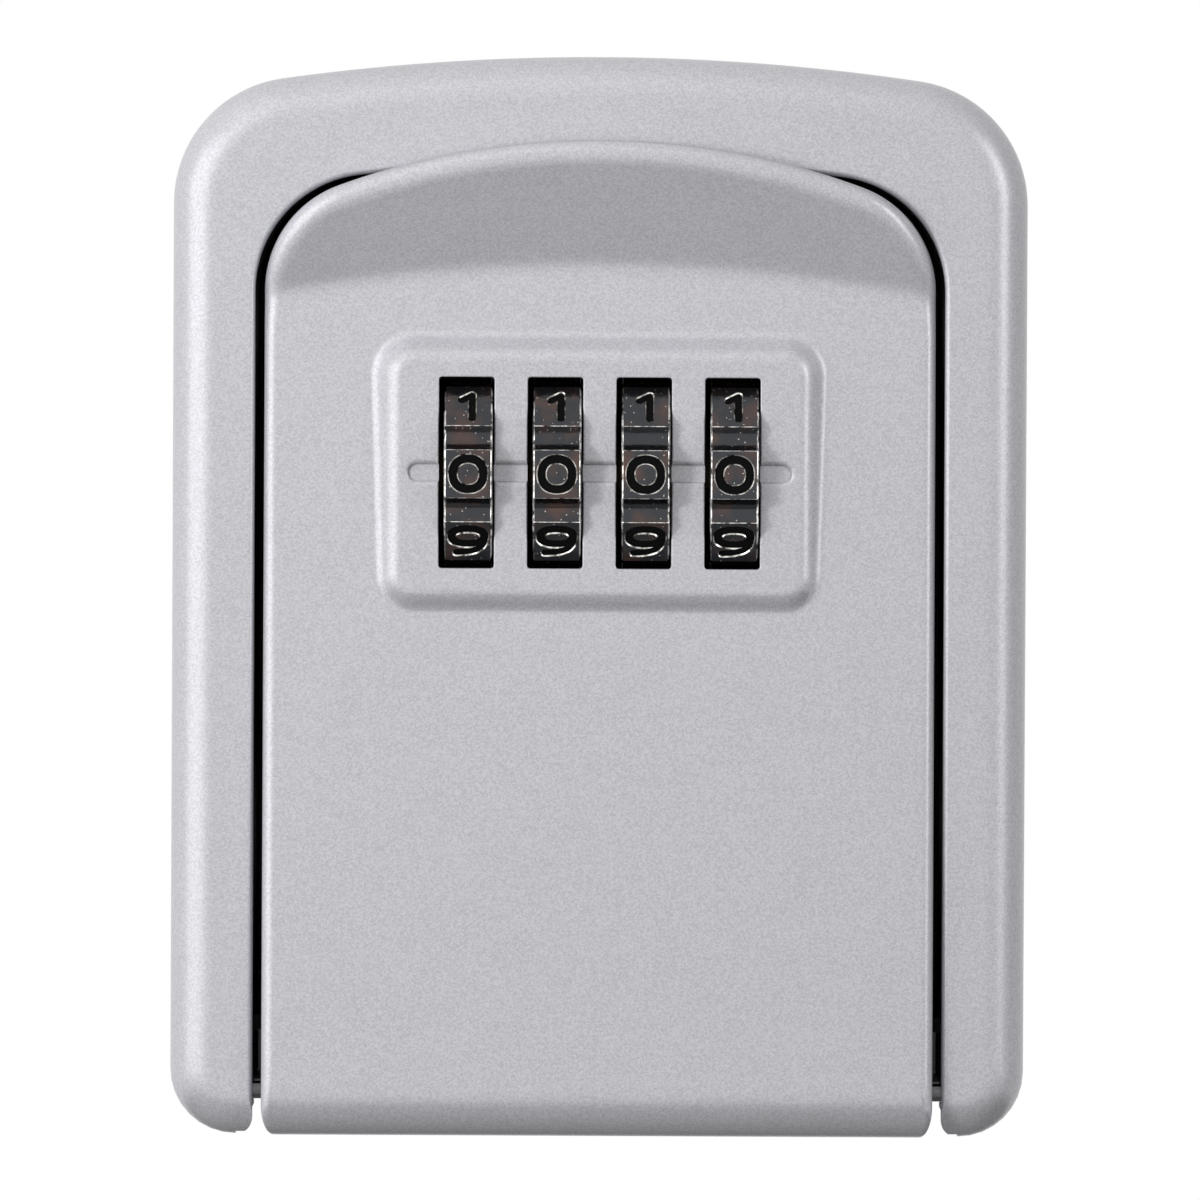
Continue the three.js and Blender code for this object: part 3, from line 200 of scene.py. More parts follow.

# Ground steel of the hinge pin, with painted shade: its colour is darkened for the dark gap it reflects, so
# it shows as a dull grey rod in the gap
pinSteel, tree, shader, place = newMaterial("ground_steel_painted_dark", {"Metallic": 1.0})
pinTone = noise(tree, place, 1.5, 3.0)
connect(tree, shader, colourBlend(tree, pinTone, "4c4d4f", "747577"), roughRange(tree, pinTone, 0.2, 0.34))

# Turned brass, blackened in a bath: nearly black with a warm cast and fine rings from the lathe round X
brass, tree, shader, place = newMaterial("blackened_turned_brass", {"Metallic": 1.0, "Roughness": 0.3})
rings = addNode(tree, "ShaderNodeTexWave", {"Vector": place, "Scale": 0.16 / mm, "Distortion": 0.6,
                                            "Detail": 1.0}, wave_type="BANDS", bands_direction="X")
rings = rings.outputs["Fac"]
connect(tree, shader, colourBlend(tree, rings, "17130e", "2a2219"), normal=bumpFrom(tree, rings, 0.1, 0.02))

finishes = {"silver_paint": silverPaint, "black_chrome": blackChrome, "black_plastic": blackPlastic,
            "zinc_steel": zincSteel, "spring_steel": springSteel, "brass": brass, "pin_steel": pinSteel}
print("materials made")

# Outlines in X and height, in mm. Every outline has the same number of points on each side, so any two
# of them can be joined point by point.
loopSteps = {"bottom": 56, "foot": 8, "flank": 42, "knee": 20, "corner": 10, "top": 48}
kneeLength = 13  # stretch below each top corner where the points stand closer, mm


def arc(x, z, radius, start, end, steps):
    angles = [math.radians(start + (end - start) * i / steps) for i in range(steps + 1)]
    return [(x + radius * math.cos(a), z + radius * math.sin(a)) for a in angles]


def quarterTurn(steps):
    turns = [math.radians(90 * i / steps) for i in range(steps + 1)]
    return [(1 - math.cos(turn), 1 - math.sin(turn)) for turn in turns]


def straight(a, b, steps):
    return [(a[0] + (b[0] - a[0]) * i / steps, a[1] + (b[1] - a[1]) * i / steps) for i in range(steps + 1)]


def closedLoop(bottom, right, top):
    left = [(-x, z) for x, z in reversed(right)]
    return bottom[:-1] + right[:-1] + top[:-1] + left[:-1]


def archLoop(half, foot, footWidth, footHeight, top, archRadius, corner):
    steps = loopSteps
    archCentre = top - archRadius
    cornerX = half - corner
    cornerZ = archCentre + math.sqrt((archRadius - corner) ** 2 - cornerX ** 2)
    crown = math.degrees(math.atan2(cornerZ - archCentre, cornerX))
    knee = (half, cornerZ - kneeLength)
    curl = [math.radians(-90 + 90 * i / steps["foot"]) for i in range(steps["foot"] + 1)]
    right = [(half - footWidth + footWidth * math.cos(a), foot + footHeight * (1 + math.sin(a)))
             for a in curl]
    right += straight((half, foot + footHeight), knee, steps["flank"])[1:]
    right += straight(knee, (half, cornerZ), steps["knee"])[1:]
    right += arc(cornerX, cornerZ, corner, 0, crown / 2, steps["corner"])[1:]
    shoulder = arc(cornerX, cornerZ, corner, crown / 2, crown, steps["corner"])
    over = shoulder + arc(0, archCentre, archRadius, crown, 180 - crown, steps["top"])[1:]
    over += [(-x, z) for x, z in reversed(shoulder)][1:]
    bottom = straight((-half + footWidth, foot), (half - footWidth, foot), steps["bottom"])
    return closedLoop(bottom, right, over)


def roundedLoop(centre, width, height, corner):
    steps = loopSteps
    halfX, halfZ = width / 2, height / 2
    px, pz = halfX - corner, halfZ - corner
    low, high = steps["foot"], steps["corner"]
    bottom = arc(-px, -pz, corner, -135, -90, low)
    bottom += straight((-px, -halfZ), (px, -halfZ), steps["bottom"] - 2 * low)[1:]
    bottom += arc(px, -pz, corner, -90, -45, low)[1:]
    right = arc(px, -pz, corner, -45, 0, low)
    right += straight((halfX, -pz), (halfX, pz), steps["flank"] + steps["knee"])[1:]
    right += arc(px, pz, corner, 0, 45, high)[1:]
    top = arc(px, pz, corner, 45, 90, high) + straight((px, halfZ), (-px, halfZ), steps["top"])[1:]
    top += arc(-px, pz, corner, 90, 135, high)[1:]
    return [(x, z + centre) for x, z in closedLoop(bottom, right, top)]


def inset(loop, distance, scale=None):
    moved = []
    for i, (x, z) in enumerate(loop):
        before = Vector((x - loop[i - 1][0], z - loop[i - 1][1])).normalized()
        following = loop[(i + 1) % len(loop)]
        after = Vector((following[0] - x, following[1] - z)).normalized()
        along = (before + after).normalized()
        far = distance * (scale(z) if scale else 1) / max(along.dot(after), 0.5)
        moved.append((x - along.y * far, z + along.x * far))
    return moved


def between(a, b, share):
    return [(p[0] + (q[0] - p[0]) * share, p[1] + (q[1] - p[1]) * share) for p, q in zip(a, b)]


# Mesh building: rings of points at a depth in front of the wall, joined one to the next


def addVertex(mesh, x, depth, z):
    return mesh.verts.new((x * mm, -depth * mm, (z - mountHeight) * mm))


def ring(mesh, loop, depth):
    return [addVertex(mesh, x, depth(x, z) if callable(depth) else depth, z) for x, z in loop]


def joinRings(mesh, a, b, slot=0):
    for i in range(len(a)):
        j = (i + 1) % len(a)
        mesh.faces.new((a[i], a[j], b[j], b[i])).material_index = slot


def joinAll(mesh, rings, capped=False):
    for a, b in zip(rings, rings[1:]):
        joinRings(mesh, a, b)
    if capped:
        mesh.faces.new(rings[0])
        mesh.faces.new(rings[-1])


def fillBetween(mesh, outer, holes):
    edges = []
    for loop in [outer] + holes:
        for i, v in enumerate(loop):
            w = loop[(i + 1) % len(loop)]
            edges.append(mesh.edges.get((v, w)) or mesh.edges.new((v, w)))
    bmesh.ops.triangle_fill(mesh, edges=edges, use_beauty=True)


def shaded(data, name, materials, sharpAngle, weighted=True):
    piece = bpy.data.objects.new(name, data)
    scene.collection.objects.link(piece)
    if not data.materials:
        for material in materials:
            data.materials.append(material)
    data.shade_smooth()
    data.set_sharp_from_angle(angle=math.radians(sharpAngle))
    if weighted:
        soft = piece.modifiers.new("flat_faces_stay_flat", "WEIGHTED_NORMAL")
        soft.weight = 60
        soft.keep_sharp = True
    return piece


def toObject(mesh, name, materials=(), sharpAngle=40, weighted=False):
    bmesh.ops.remove_doubles(mesh, verts=mesh.verts, dist=1e-6)
    bmesh.ops.dissolve_degenerate(mesh, edges=mesh.edges, dist=1e-7)
    bmesh.ops.recalc_face_normals(mesh, faces=mesh.faces)
    if mesh.calc_volume(signed=True) < 0:
        bmesh.ops.reverse_faces(mesh, faces=mesh.faces)
    data = bpy.data.meshes.new(name)
    mesh.to_mesh(data)
    mesh.free()
    return shaded(data, name, materials, sharpAngle, weighted)


def baked(piece):
    bpy.context.view_layer.update()
    depsgraph = bpy.context.evaluated_depsgraph_get()
    data = bpy.data.meshes.new_from_object(piece.evaluated_get(depsgraph), preserve_all_data_layers=True,
                                           depsgraph=depsgraph)
    piece.modifiers.clear()
    piece.data = data


def carve(piece, tool, solver="EXACT"):
    bite = piece.modifiers.new("carve", "BOOLEAN")
    bite.object = tool
    bite.operation = "DIFFERENCE"
    bite.solver = solver
    if solver == "EXACT":
        bite.material_mode = "TRANSFER"
    baked(piece)
    bpy.data.objects.remove(tool)


# Case: a shell with a broad soft rim, open at the bottom between its two legs
case = {"width": 95, "height": 120, "depth": 34, "wall": 3, "arch": 250, "corner": 14, "foot": 7.25,
        "rim": 9.2, "rimTop": 11.8, "rimRound": 4.75, "rearRound": 0.5, "flange": 3, "openingCorner": 13,
        "edge": 0.6, "legRound": 2, "floorUnder": 3.5, "floor": 2, "floorBack": 2.7, "floorFront": 19.5,
        "cheekInner": 40.2, "cheekTop": 10, "cheekDepth": 10, "cheekInset": 1.2, "overlap": 0.5}
flangeBack = case["depth"] - case["flange"]
openingHalf = case["width"] / 2 - case["rim"]
openingTop = case["height"] - case["rimTop"]


def openingLoop(grow, foot=-1, curl=0.01):
    return archLoop(openingHalf + grow, foot, curl, abs(curl), openingTop + grow, case["arch"] + grow,
                    case["openingCorner"] + grow)


def openingCut(grow, depth):  # swings outwards at the bottom, which rounds the inner edge of each leg
    return openingLoop(grow, -0.05, -case["legRound"]), depth


def solidFromLoops(name, levels):
    mesh = bmesh.new()
    joinAll(mesh, [ring(mesh, loop, depth) for loop, depth in levels], capped=True)
    return toObject(mesh, name)


def addBlock(mesh, low, high):
    corners = [addVertex(mesh, x, depth, z)
               for x in (low[0], high[0]) for depth in (low[1], high[1]) for z in (low[2], high[2])]
    for face in ((0, 1, 3, 2), (4, 6, 7, 5), (0, 4, 5, 1), (2, 3, 7, 6), (0, 2, 6, 4), (1, 5, 7, 3)):
        mesh.faces.new([corners[i] for i in face])


caseLoop = archLoop(case["width"] / 2, 0, case["foot"], case["foot"], case["height"], case["arch"],
                    case["corner"])
rear = case["rearRound"]
levels = [(inset(caseLoop, rear), 0), (inset(caseLoop, 0.3 * rear), 0.3 * rear), (caseLoop, rear)]
levels += [(inset(caseLoop, case["rimRound"] * away), case["depth"] - case["rimRound"] * drop)
           for away, drop in quarterTurn(12)]
caseBody = solidFromLoops("body_shell_dressed", levels)
hollow = inset(caseLoop, case["wall"])
carve(caseBody, solidFromLoops("hollow", [(hollow, -1), (hollow, flangeBack)]))
levels = [openingCut(0, flangeBack - 1)]
levels += [openingCut(case["edge"] * away, case["depth"] - case["edge"] * drop)
           for away, drop in quarterTurn(6)]
levels.append(openingCut(case["edge"], case["depth"] + 1))
carve(caseBody, solidFromLoops("opening", levels))
mesh = bmesh.new()
addBlock(mesh, (-case["cheekInner"], -1, -1), (case["cheekInner"], flangeBack, case["floorUnder"]))
carve(caseBody, toObject(mesh, "underside"))
# the two cheeks that hold the pin, and the floor between them
mesh = bmesh.new()
mesh.from_mesh(caseBody.data)
inner, under, top = case["cheekInner"], case["cheekInset"], case["cheekTop"]
footEdge = [(x, z) for x, z in inset(caseLoop, under) if x > inner and z < top]
outline = [(inner, under)] + footEdge + [(footEdge[-1][0], top), (inner, top)]
for side in (-1, 1):
    ends = [ring(mesh, [(side * x, z) for x, z in outline], depth)
            for depth in (flangeBack - case["cheekDepth"], flangeBack + case["overlap"])]
    joinAll(mesh, ends, capped=True)
reach = case["width"] / 2 - case["wall"] + 1
addBlock(mesh, (-reach, case["floorBack"], case["floorUnder"]),
         (reach, case["floorFront"], case["floorUnder"] + case["floor"]))
bpy.data.objects.remove(caseBody)
caseBody = toObject(mesh, "body_shell_dressed", [silverPaint], 30, weighted=True)
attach(caseBody, "case")
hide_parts("body_shell")
print("case shell:", len(caseBody.data.polygons), "faces")

# Door: a leaning face that rolls under round the pin and swells into the scooped lip, with a raised bezel
door = {"gap": 1.05, "lip": 2.5, "lipBack": 34.3, "lipRound": 1.1, "lipFrom": 88, "lipOver": 14,
        "arch": 84.5, "corner": 12.5, "footWidth": 1.5, "footHeight": 3.5, "footClear": 6, "wall": 2.4,
        "edge": 1.3, "face": 36.5, "lean": 0.03, "roll": 5, "heel": 9.5, "scoop": 15.2, "scoopBlend": 2.4,
        "scoopSlope": 0.53, "scoopArch": 200, "skirtFrom": 90, "lugWidth": 6, "lugTop": 10,
        "lugRadius": 4.6, "lugNeck": 4.2, "lugShoulder": 3, "lugBevel": 0.3}
bezel = {"width": 45.8, "height": 26.9, "centre": 73.45, "face": 36.2, "corner": 2.4, "plate": 1.4,
         "topRound": 0.85, "baseFillet": 0.6, "reach": 3.8, "pocketHalf": 22.5, "wheelPitch": 9.83,
         "windowWidth": 6.14, "windowHeight": 21.2, "windowRise": 0.35, "windowCorner": 0.35,
         "grooveWidth": 42.2, "grooveHeight": 1.8, "grooveDepth": 0.5, "grooveClear": 0.3,
         "grooveSoft": 0.7, "edge": 0.16}
doorHalf = openingHalf - door["gap"]
doorTop = openingTop + door["lip"]
pinHeight = door["roll"]
pinDepth = door["face"] - door["roll"]
scoopHeight = doorTop - door["scoop"]
skirtBack = pinDepth - door["heel"]
wall = door["wall"]


def doorDepth(x, z):
    if z < pinHeight:
        return pinDepth + math.sqrt(max(door["roll"] ** 2 - min(pinHeight - z, door["roll"]) ** 2, 0))
    rise = z + x * x / (2 * door["scoopArch"]) - scoopHeight
    blend = door["scoopBlend"]
    swell = 0 if rise <= 0 else rise * rise / (2 * blend) if rise < blend else rise - blend / 2
    return door["face"] - door["lean"] * (z - pinHeight) + door["scoopSlope"] * swell


def unrolled(z):
    if z >= pinHeight:
        return z - pinHeight
    return -door["roll"] * math.asin(min((pinHeight - z) / door["roll"], 1))


def rolled(s):
    return s + pinHeight if s >= 0 else pinHeight - door["roll"] * math.sin(-s / door["roll"])


def softMax(a, b, reach):
    near = max(reach - abs(a - b), 0) / reach
    return max(a, b) + near * near * reach / 4


# the rounded edge is broader along the lip and finer at the foot
def lipGrow(z):
    share = min(max((z - door["lipFrom"]) / door["lipOver"], 0), 1)
    return 1 + door["lipRound"] * share * share * (3 - 2 * share)


def footFade(z):
    return min(max(z / pinHeight, 0.15), 1) * lipGrow(z)


def footInset(z):
    return (min(max(z / door["footClear"], 0), 1) * 0.65 + 0.35) * lipGrow(z)


def edgeDepth(x, z):
    return doorDepth(x, z) - door["edge"] * footFade(z)


def lipBack(x, z):
    return min(door["lipBack"], edgeDepth(x, z) - 0.02)


def rearDepth(z):
    if z >= pinHeight:
        return skirtBack
    return pinDepth - math.sqrt(door["heel"] ** 2 - (pinHeight - z) ** 2)


def insideDepth(x, z):
    if z >= pinHeight:
        return doorDepth(x, z) - wall
    return pinDepth + math.sqrt(max((door["roll"] - wall) ** 2 - (pinHeight - z) ** 2, 0))


doorLoop = archLoop(doorHalf, 0, door["footWidth"], door["footHeight"], doorTop, door["arch"],
                    door["corner"])
skirtLoop = [p if p[1] < door["skirtFrom"] else q for p, q in zip(doorLoop, openingLoop(-door["gap"]))]
innerLoop = archLoop(doorHalf - wall, wall, 1, 1.2, openingTop - door["gap"] - wall,
                     case["arch"] - door["gap"] - wall, case["openingCorner"] - door["gap"] - wall)

# the wheel windows and the groove across them, as one hole through the face of the bezel
mesh = bmesh.new()
edge, clear = bezel["edge"], bezel["grooveClear"]
windowCentre = bezel["centre"] + bezel["windowRise"]
wheelXs = [(i - 1.5) * bezel["wheelPitch"] for i in range(4)]
halfW, halfH, grooveHalf = bezel["windowWidth"] / 2, bezel["windowHeight"] / 2, bezel["grooveHeight"] / 2


def windowTop(x):
    radius = bezel["windowCorner"]
    return ([(x - halfW, grooveHalf)] + arc(x - halfW + radius, halfH - radius, radius, 180, 90, 4)
            + arc(x + halfW - radius, halfH - radius, radius, 90, 0, 4) + [(x + halfW, grooveHalf)])


upper = arc(-bezel["grooveWidth"] / 2 + grooveHalf, 0, grooveHalf, 180, 90, 5)
for x in wheelXs:
    upper += [(x - halfW - clear, grooveHalf)] + windowTop(x) + [(x + halfW + clear, grooveHalf)]
upper += arc(bezel["grooveWidth"] / 2 - grooveHalf, 0, grooveHalf, 90, 0, 5)
slotLoop = upper + [(x, -z) for x, z in reversed(upper)][1:-1]
slotLoop = [(x, z + windowCentre) for x, z in reversed(slotLoop)]  # runs the way the outlines do
inGroove = [min(abs(x - middle) for middle in wheelXs) > halfW + clear * 0.9 for x, z in slotLoop]
crispEdge, softEdge = inset(slotLoop, -edge), inset(slotLoop, -bezel["grooveSoft"])
slotRings = []
edgeSteps = ((1, 0), (0.62, 0.08), (0.29, 0.29), (0.08, 0.62), (0, 1), (0, bezel["grooveDepth"] / edge))
for step, drop in edgeSteps:
    corners = []
    for (x, z), crisp, soft, grooved in zip(slotLoop, crispEdge, softEdge, inGroove):
        away = soft if grooved else crisp
        fall = min(drop, 1) * bezel["grooveDepth"] if grooved else drop * edge
        corners.append(addVertex(mesh, x + (away[0] - x) * step, bezel["face"] - fall,
                                 z + (away[1] - z) * step))
    slotRings.append(corners)
joinAll(mesh, slotRings)
floorAt = {}
for v, (x, z) in zip(slotRings[-1], slotLoop):
    floorAt.setdefault((round(x, 4), round(z - windowCentre, 4)), v)


def floorVertices(points):
    return [floorAt[round(x, 4), round(z, 4)] for x, z in points]


endPoints = 8  # of each end of the groove: its round and the straight up to the window
left, right = upper[:endPoints], upper[-endPoints:]
mesh.faces.new(floorVertices(left + [(x, -z) for x, z in reversed(left[1:])]))
mesh.faces.new(floorVertices(right + [(x, -z) for x, z in reversed(right[:-1])]))
for a, b in zip(wheelXs, wheelXs[1:]):
    stops = (a + halfW, a + halfW + clear, b - halfW - clear, b - halfW)
    mesh.faces.new(floorVertices([(x, -grooveHalf) for x in stops]
                                 + [(x, grooveHalf) for x in reversed(stops)]))
plateBack = bezel["face"] - bezel["plate"]
windowBacks = []
for x in wheelXs:
    rim = [(p, -q) for p, q in windowTop(x)] + windowTop(x)[::-1]
    back = ring(mesh, [(p, q + windowCentre) for p, q in rim], plateBack)
    joinRings(mesh, floorVertices(rim), back)
    windowBacks.append(back)


def bezelRing(out):
    return roundedLoop(bezel["centre"], bezel["width"] + 2 * out, bezel["height"] + 2 * out,
                       bezel["corner"] + out)


def bezelDepth(out):
    slope = -softMax(-bezel["face"], out - bezel["face"], bezel["topRound"])
    return lambda x, z: softMax(slope, doorDepth(x, z), bezel["baseFillet"]) if out > 0.7 else slope


# the face of the door, from the top of the bezel out over the rounded edge
rings = [ring(mesh, bezelRing(out), bezel["face"]) for out in (-1.0, -0.7)]
fillBetween(mesh, rings[0], [slotRings[0]])
first, steps = -0.62, 40
for i in range(steps + 1):
    out = first + (bezel["reach"] - first) * i / steps
    rings.append(ring(mesh, bezelRing(out), bezelDepth(out)))
inside = [(x, unrolled(z)) for x, z in bezelRing(bezel["reach"])]
outside = [(x, unrolled(z)) for x, z in inset(doorLoop, door["edge"], footInset)]
steps = 54
for i in range(1, steps + 1):
    share = 1 - (1 - i / steps) ** 1.45  # rings stand closer towards the edge
    rings.append(ring(mesh, [(x, rolled(s)) for x, s in between(inside, outside, share)], doorDepth))
for away, drop in reversed(quarterTurn(8)[:-1]):
    loop = inset(doorLoop, door["edge"] * away, footInset)
    rings.append(ring(mesh, loop, lambda x, z: doorDepth(x, z) - door["edge"] * drop * footFade(z)))
joinAll(mesh, rings)


def wallRing(fraction, depthAt):
    return [addVertex(mesh, x + (ix - x) * fraction, depthAt(x, z), z + (iz - z) * fraction)
            for (x, z), (ix, iz) in zip(doorLoop, skirtLoop)]


# back of the lip, skirt and its rear edge, then the inner side of the face
walls = [rings[-1]]
for fraction, up in ((0, 0.3), (0.03, 0.1), (0.1, 0), (1, 0)):
    walls.append(wallRing(fraction, lambda x, z: min(lipBack(x, z) + up, edgeDepth(x, z) - 0.01)))
for fraction, up in ((0, 0.4), (0.05, 0.1), (0.16, 0), (0.84, 0), (0.95, 0.1), (1, 0.4), (1, 3)):
    walls.append(ring(mesh, between(skirtLoop, innerLoop, fraction), lambda x, z: rearDepth(z) + up))
joinAll(mesh, walls)
pocket = roundedLoop(bezel["centre"], 2 * bezel["pocketHalf"], bezel["height"] - 0.8, 1)
inner = [walls[-1]] + [ring(mesh, between(innerLoop, pocket, share), insideDepth)
                       for share in (0, 0.02, 0.05, 0.09, 0.14, 0.2, 0.3, 0.45, 0.6, 0.75, 0.9, 1)]
inner.append(ring(mesh, pocket, plateBack))
joinAll(mesh, inner)
fillBetween(mesh, inner[-1], windowBacks)
print("door front:", len(mesh.faces), "faces")

# lugs that turn on the pin
lugEnd = doorHalf - wall - door["lugWidth"]
lugRise = door["lugTop"] - pinHeight
profile = arc(0, 0, door["lugRadius"], 90, 360, 24)
profile += [(door["lugRadius"], door["lugShoulder"]), (door["lugNeck"], lugRise), (0, lugRise)]
for side in (-1, 1):
    ends = [[addVertex(mesh, side * x, pinDepth + p * size, pinHeight + q * size) for p, q in profile]
            for x, size in ((doorHalf - 0.6, 1), (lugEnd + door["lugBevel"], 1), (lugEnd, 0.93))]
    joinAll(mesh, ends, capped=True)
doorBody = toObject(mesh, "door_shell_dressed", [silverPaint], 38, weighted=True)
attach(doorBody, "door")
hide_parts("door_shell")
print("door:", len(doorBody.data.polygons), "faces")

# Code wheels: ten lands with engraved digits and hollow valleys between them
dial = {"width": 5.4, "apothem": 12.75, "landHalf": 12, "landDrop": 0.05, "valley": 12,
        "valleyDepth": 0.88, "bore": 5.3, "axisDepth": 25.9, "axisHeight": 73.7, "shift": 0.2,
        "edge": 0.34, "notch": 6.7, "notchReach": 2.4, "stroke": 0.76, "ringStroke": 0.9,
        "digitDepth": 0.26, "digitEdge": 0.12, "toolAbove": 0.3}
digitLines = {  # strokes in mm: points, or for a ring its centre, radii and squareness
    0: [("ring", (0, 0, 1.7, 1.68, 2.25))],
    1: [("line", [(0.42, -1.6), (0.42, 1.5)]), ("line", [(0.42, 1.5), (-0.7, 0.85)])],
    2: [("curve", [(-1.75, 0.95), (-1.2, 1.55), (0, 1.7), (1.25, 1.5), (1.75, 0.85), (1.1, 0.1),
                   (-0.6, -0.8), (-1.75, -1.65)]), ("line", [(-1.75, -1.65), (1.8, -1.65)])],
    3: [("curve", [(-1.7, 1.15), (-0.9, 1.65), (0.4, 1.68), (1.5, 1.3), (1.5, 0.5), (0.7, 0.1),
                   (-0.4, 0.05)]),
        ("curve", [(-0.4, 0.05), (0.9, 0), (1.75, -0.6), (1.5, -1.35), (0.4, -1.68), (-0.9, -1.65),
                   (-1.75, -1.1)])],
    4: [("line", [(0.75, 1.7), (-1.8, -0.75)]), ("line", [(-1.8, -0.75), (1.85, -0.75)]),
        ("line", [(0.75, 1.7), (0.75, -1.7)])],
    5: [("line", [(1.6, 1.65), (-1.35, 1.65)]), ("line", [(-1.35, 1.65), (-1.55, 0.25)]),
        ("curve", [(-1.55, 0.25), (-0.4, 0.6), (1.0, 0.4), (1.75, -0.5), (1.2, -1.4), (0, -1.68),
                   (-1.2, -1.55), (-1.8, -1.1)])],
    6: [("ring", (0, -0.62, 1.8, 1.02, 2.4)),
        ("curve", [(-1.8, -0.5), (-1.7, 0.3), (-1.1, 1.1), (0, 1.55), (1.3, 1.65)])],
    7: [("line", [(-1.75, 1.65), (1.75, 1.65)]),
        ("curve", [(1.75, 1.65), (0.6, 0.5), (-0.2, -0.6), (-0.5, -1.7)])],
    8: [("ring", (0, 0.88, 1.5, 0.8, 2.3)), ("ring", (0, -0.8, 1.85, 0.9, 2.3))],
    9: [("ring", (0, 0.62, 1.8, 1.02, 2.4)),
        ("curve", [(1.8, 0.5), (1.7, -0.3), (1.1, -1.1), (0, -1.5), (-1.3, -1.62)])],
}


def smoothLine(points, steps=6):
    out = []
    ends = [points[0]] + points + [points[-1]]
    for p0, p1, p2, p3 in zip(ends, ends[1:], ends[2:], ends[3:]):
        for i in range(steps):
            t = i / steps
            out.append(tuple(0.5 * (2 * b + (c - a) * t + (2 * a - 5 * b + 4 * c - d) * t * t
                                    + (3 * b - a - 3 * c + d) * t ** 3)
                             for a, b, c, d in zip(p0, p1, p2, p3)))
    return out + [points[-1]]


def sideLoops(points, half):
    lefts, rights = [], []
    for i, (u, v) in enumerate(points):
        before = points[max(i - 1, 0)]
        after = points[min(i + 1, len(points) - 1)]
        a = Vector((u - before[0], v - before[1]))
        b = Vector((after[0] - u, after[1] - v))
        a = a.normalized() if a.length else b.normalized()
        b = b.normalized() if b.length else a
        along = (a + b).normalized()
        far = half / max(along.dot(b), 0.5)
        lefts.append((u - along.y * far, v + along.x * far))
        rights.append((u + along.y * far, v - along.x * far))
    return lefts, rights


def strokeOutline(points, half):
    lefts, rights = sideLoops(points, half)
    caps = []
    for end, inner in ((points[-1], points[-2]), (points[0], points[1])):
        facing = math.degrees(math.atan2(end[1] - inner[1], end[0] - inner[0]))
        caps.append(arc(end[0], end[1], half, facing - 90, facing + 90, 6))
    return rights[1:-1] + caps[0] + list(reversed(lefts[1:-1])) + caps[1]


def ovalPoints(cx, cz, rx, rz, power, steps=40):
    points = []
    for i in range(steps):
        turn = 2 * math.pi * i / steps
        u, v = math.cos(turn), math.sin(turn)
        points.append((cx + rx * math.copysign(abs(u) ** (2 / power), u),
                       cz + rz * math.copysign(abs(v) ** (2 / power), v)))
    return points


def addStroke(mesh, digit, kind, shape):
    tilt = math.radians(36 * digit)

    def onLand(loop, height):
        out = dial["apothem"] + height
        vertices = []
        for u, v in loop:
            depth = out * math.cos(tilt) - v * math.sin(tilt)
            z = out * math.sin(tilt) + v * math.cos(tilt)
            vertices.append(addVertex(mesh, u, dial["axisDepth"] + depth, dial["axisHeight"] + z))
        return vertices

    closed = kind == "ring"
    points = smoothLine(shape) if kind == "curve" else shape
    halfStroke = dial["ringStroke" if closed else "stroke"] / 2
    edge = dial["digitEdge"]
    built = []
    for height, half in ((dial["toolAbove"], halfStroke + edge), (0.0, halfStroke + edge),
                         (-edge, halfStroke), (-dial["digitDepth"], halfStroke)):
        if closed:
            cx, cz, rx, rz, power = shape
            loops = [ovalPoints(cx, cz, rx + side * half, rz + side * half, power) for side in (-1, 1)]
        else:
            loops = [strokeOutline(points, half)]
        built.append([onLand(loop, height) for loop in loops])
    # painted highlight: the chamfer round the rim of each digit takes the bright chrome, the walls and
    # floor below it the black enamel
    for level, (a, b) in enumerate(zip(built, built[1:])):
        for p, q in zip(a, b):
            joinRings(mesh, p, q, 1 if level < 2 else 2)
    for loops, slot in ((built[0], 1), (built[-1], 2)):
        if closed:
            joinRings(mesh, *loops, slot)
        else:
            mesh.faces.new(loops[0]).material_index = slot


def wheelProfile():
    landHalf = math.radians(dial["landHalf"])
    corner = dial["apothem"] / math.cos(landHalf) - dial["landDrop"]
    points = []
    for i in range(10):
        middle = 36 * i
        for share in (-1, -0.972, 0, 0.972, 1):
            turn = math.radians(middle) + math.atan(share * math.tan(landHalf))
            flat = dial["apothem"] / math.cos(turn - math.radians(middle))
            points.append((turn, flat - (dial["landDrop"] if abs(share) == 1 else 0)))
        for share in (0.02, 0.06, 0.14, 0.25, 0.38, 0.5, 0.62, 0.75, 0.86, 0.94, 0.98):
            dip = dial["valleyDepth"] * (1 - (2 * share - 1) ** 2)
            points.append((math.radians(middle + dial["landHalf"] + dial["valley"] * share), corner - dip))
    return points


def wheelRing(mesh, x, loop):  # loop in height and depth round the axis
    centre = dial["axisHeight"] - mountHeight
    return [mesh.verts.new((x * mm, -(dial["axisDepth"] + depth) * mm, (centre + z) * mm))
            for z, depth in loop]


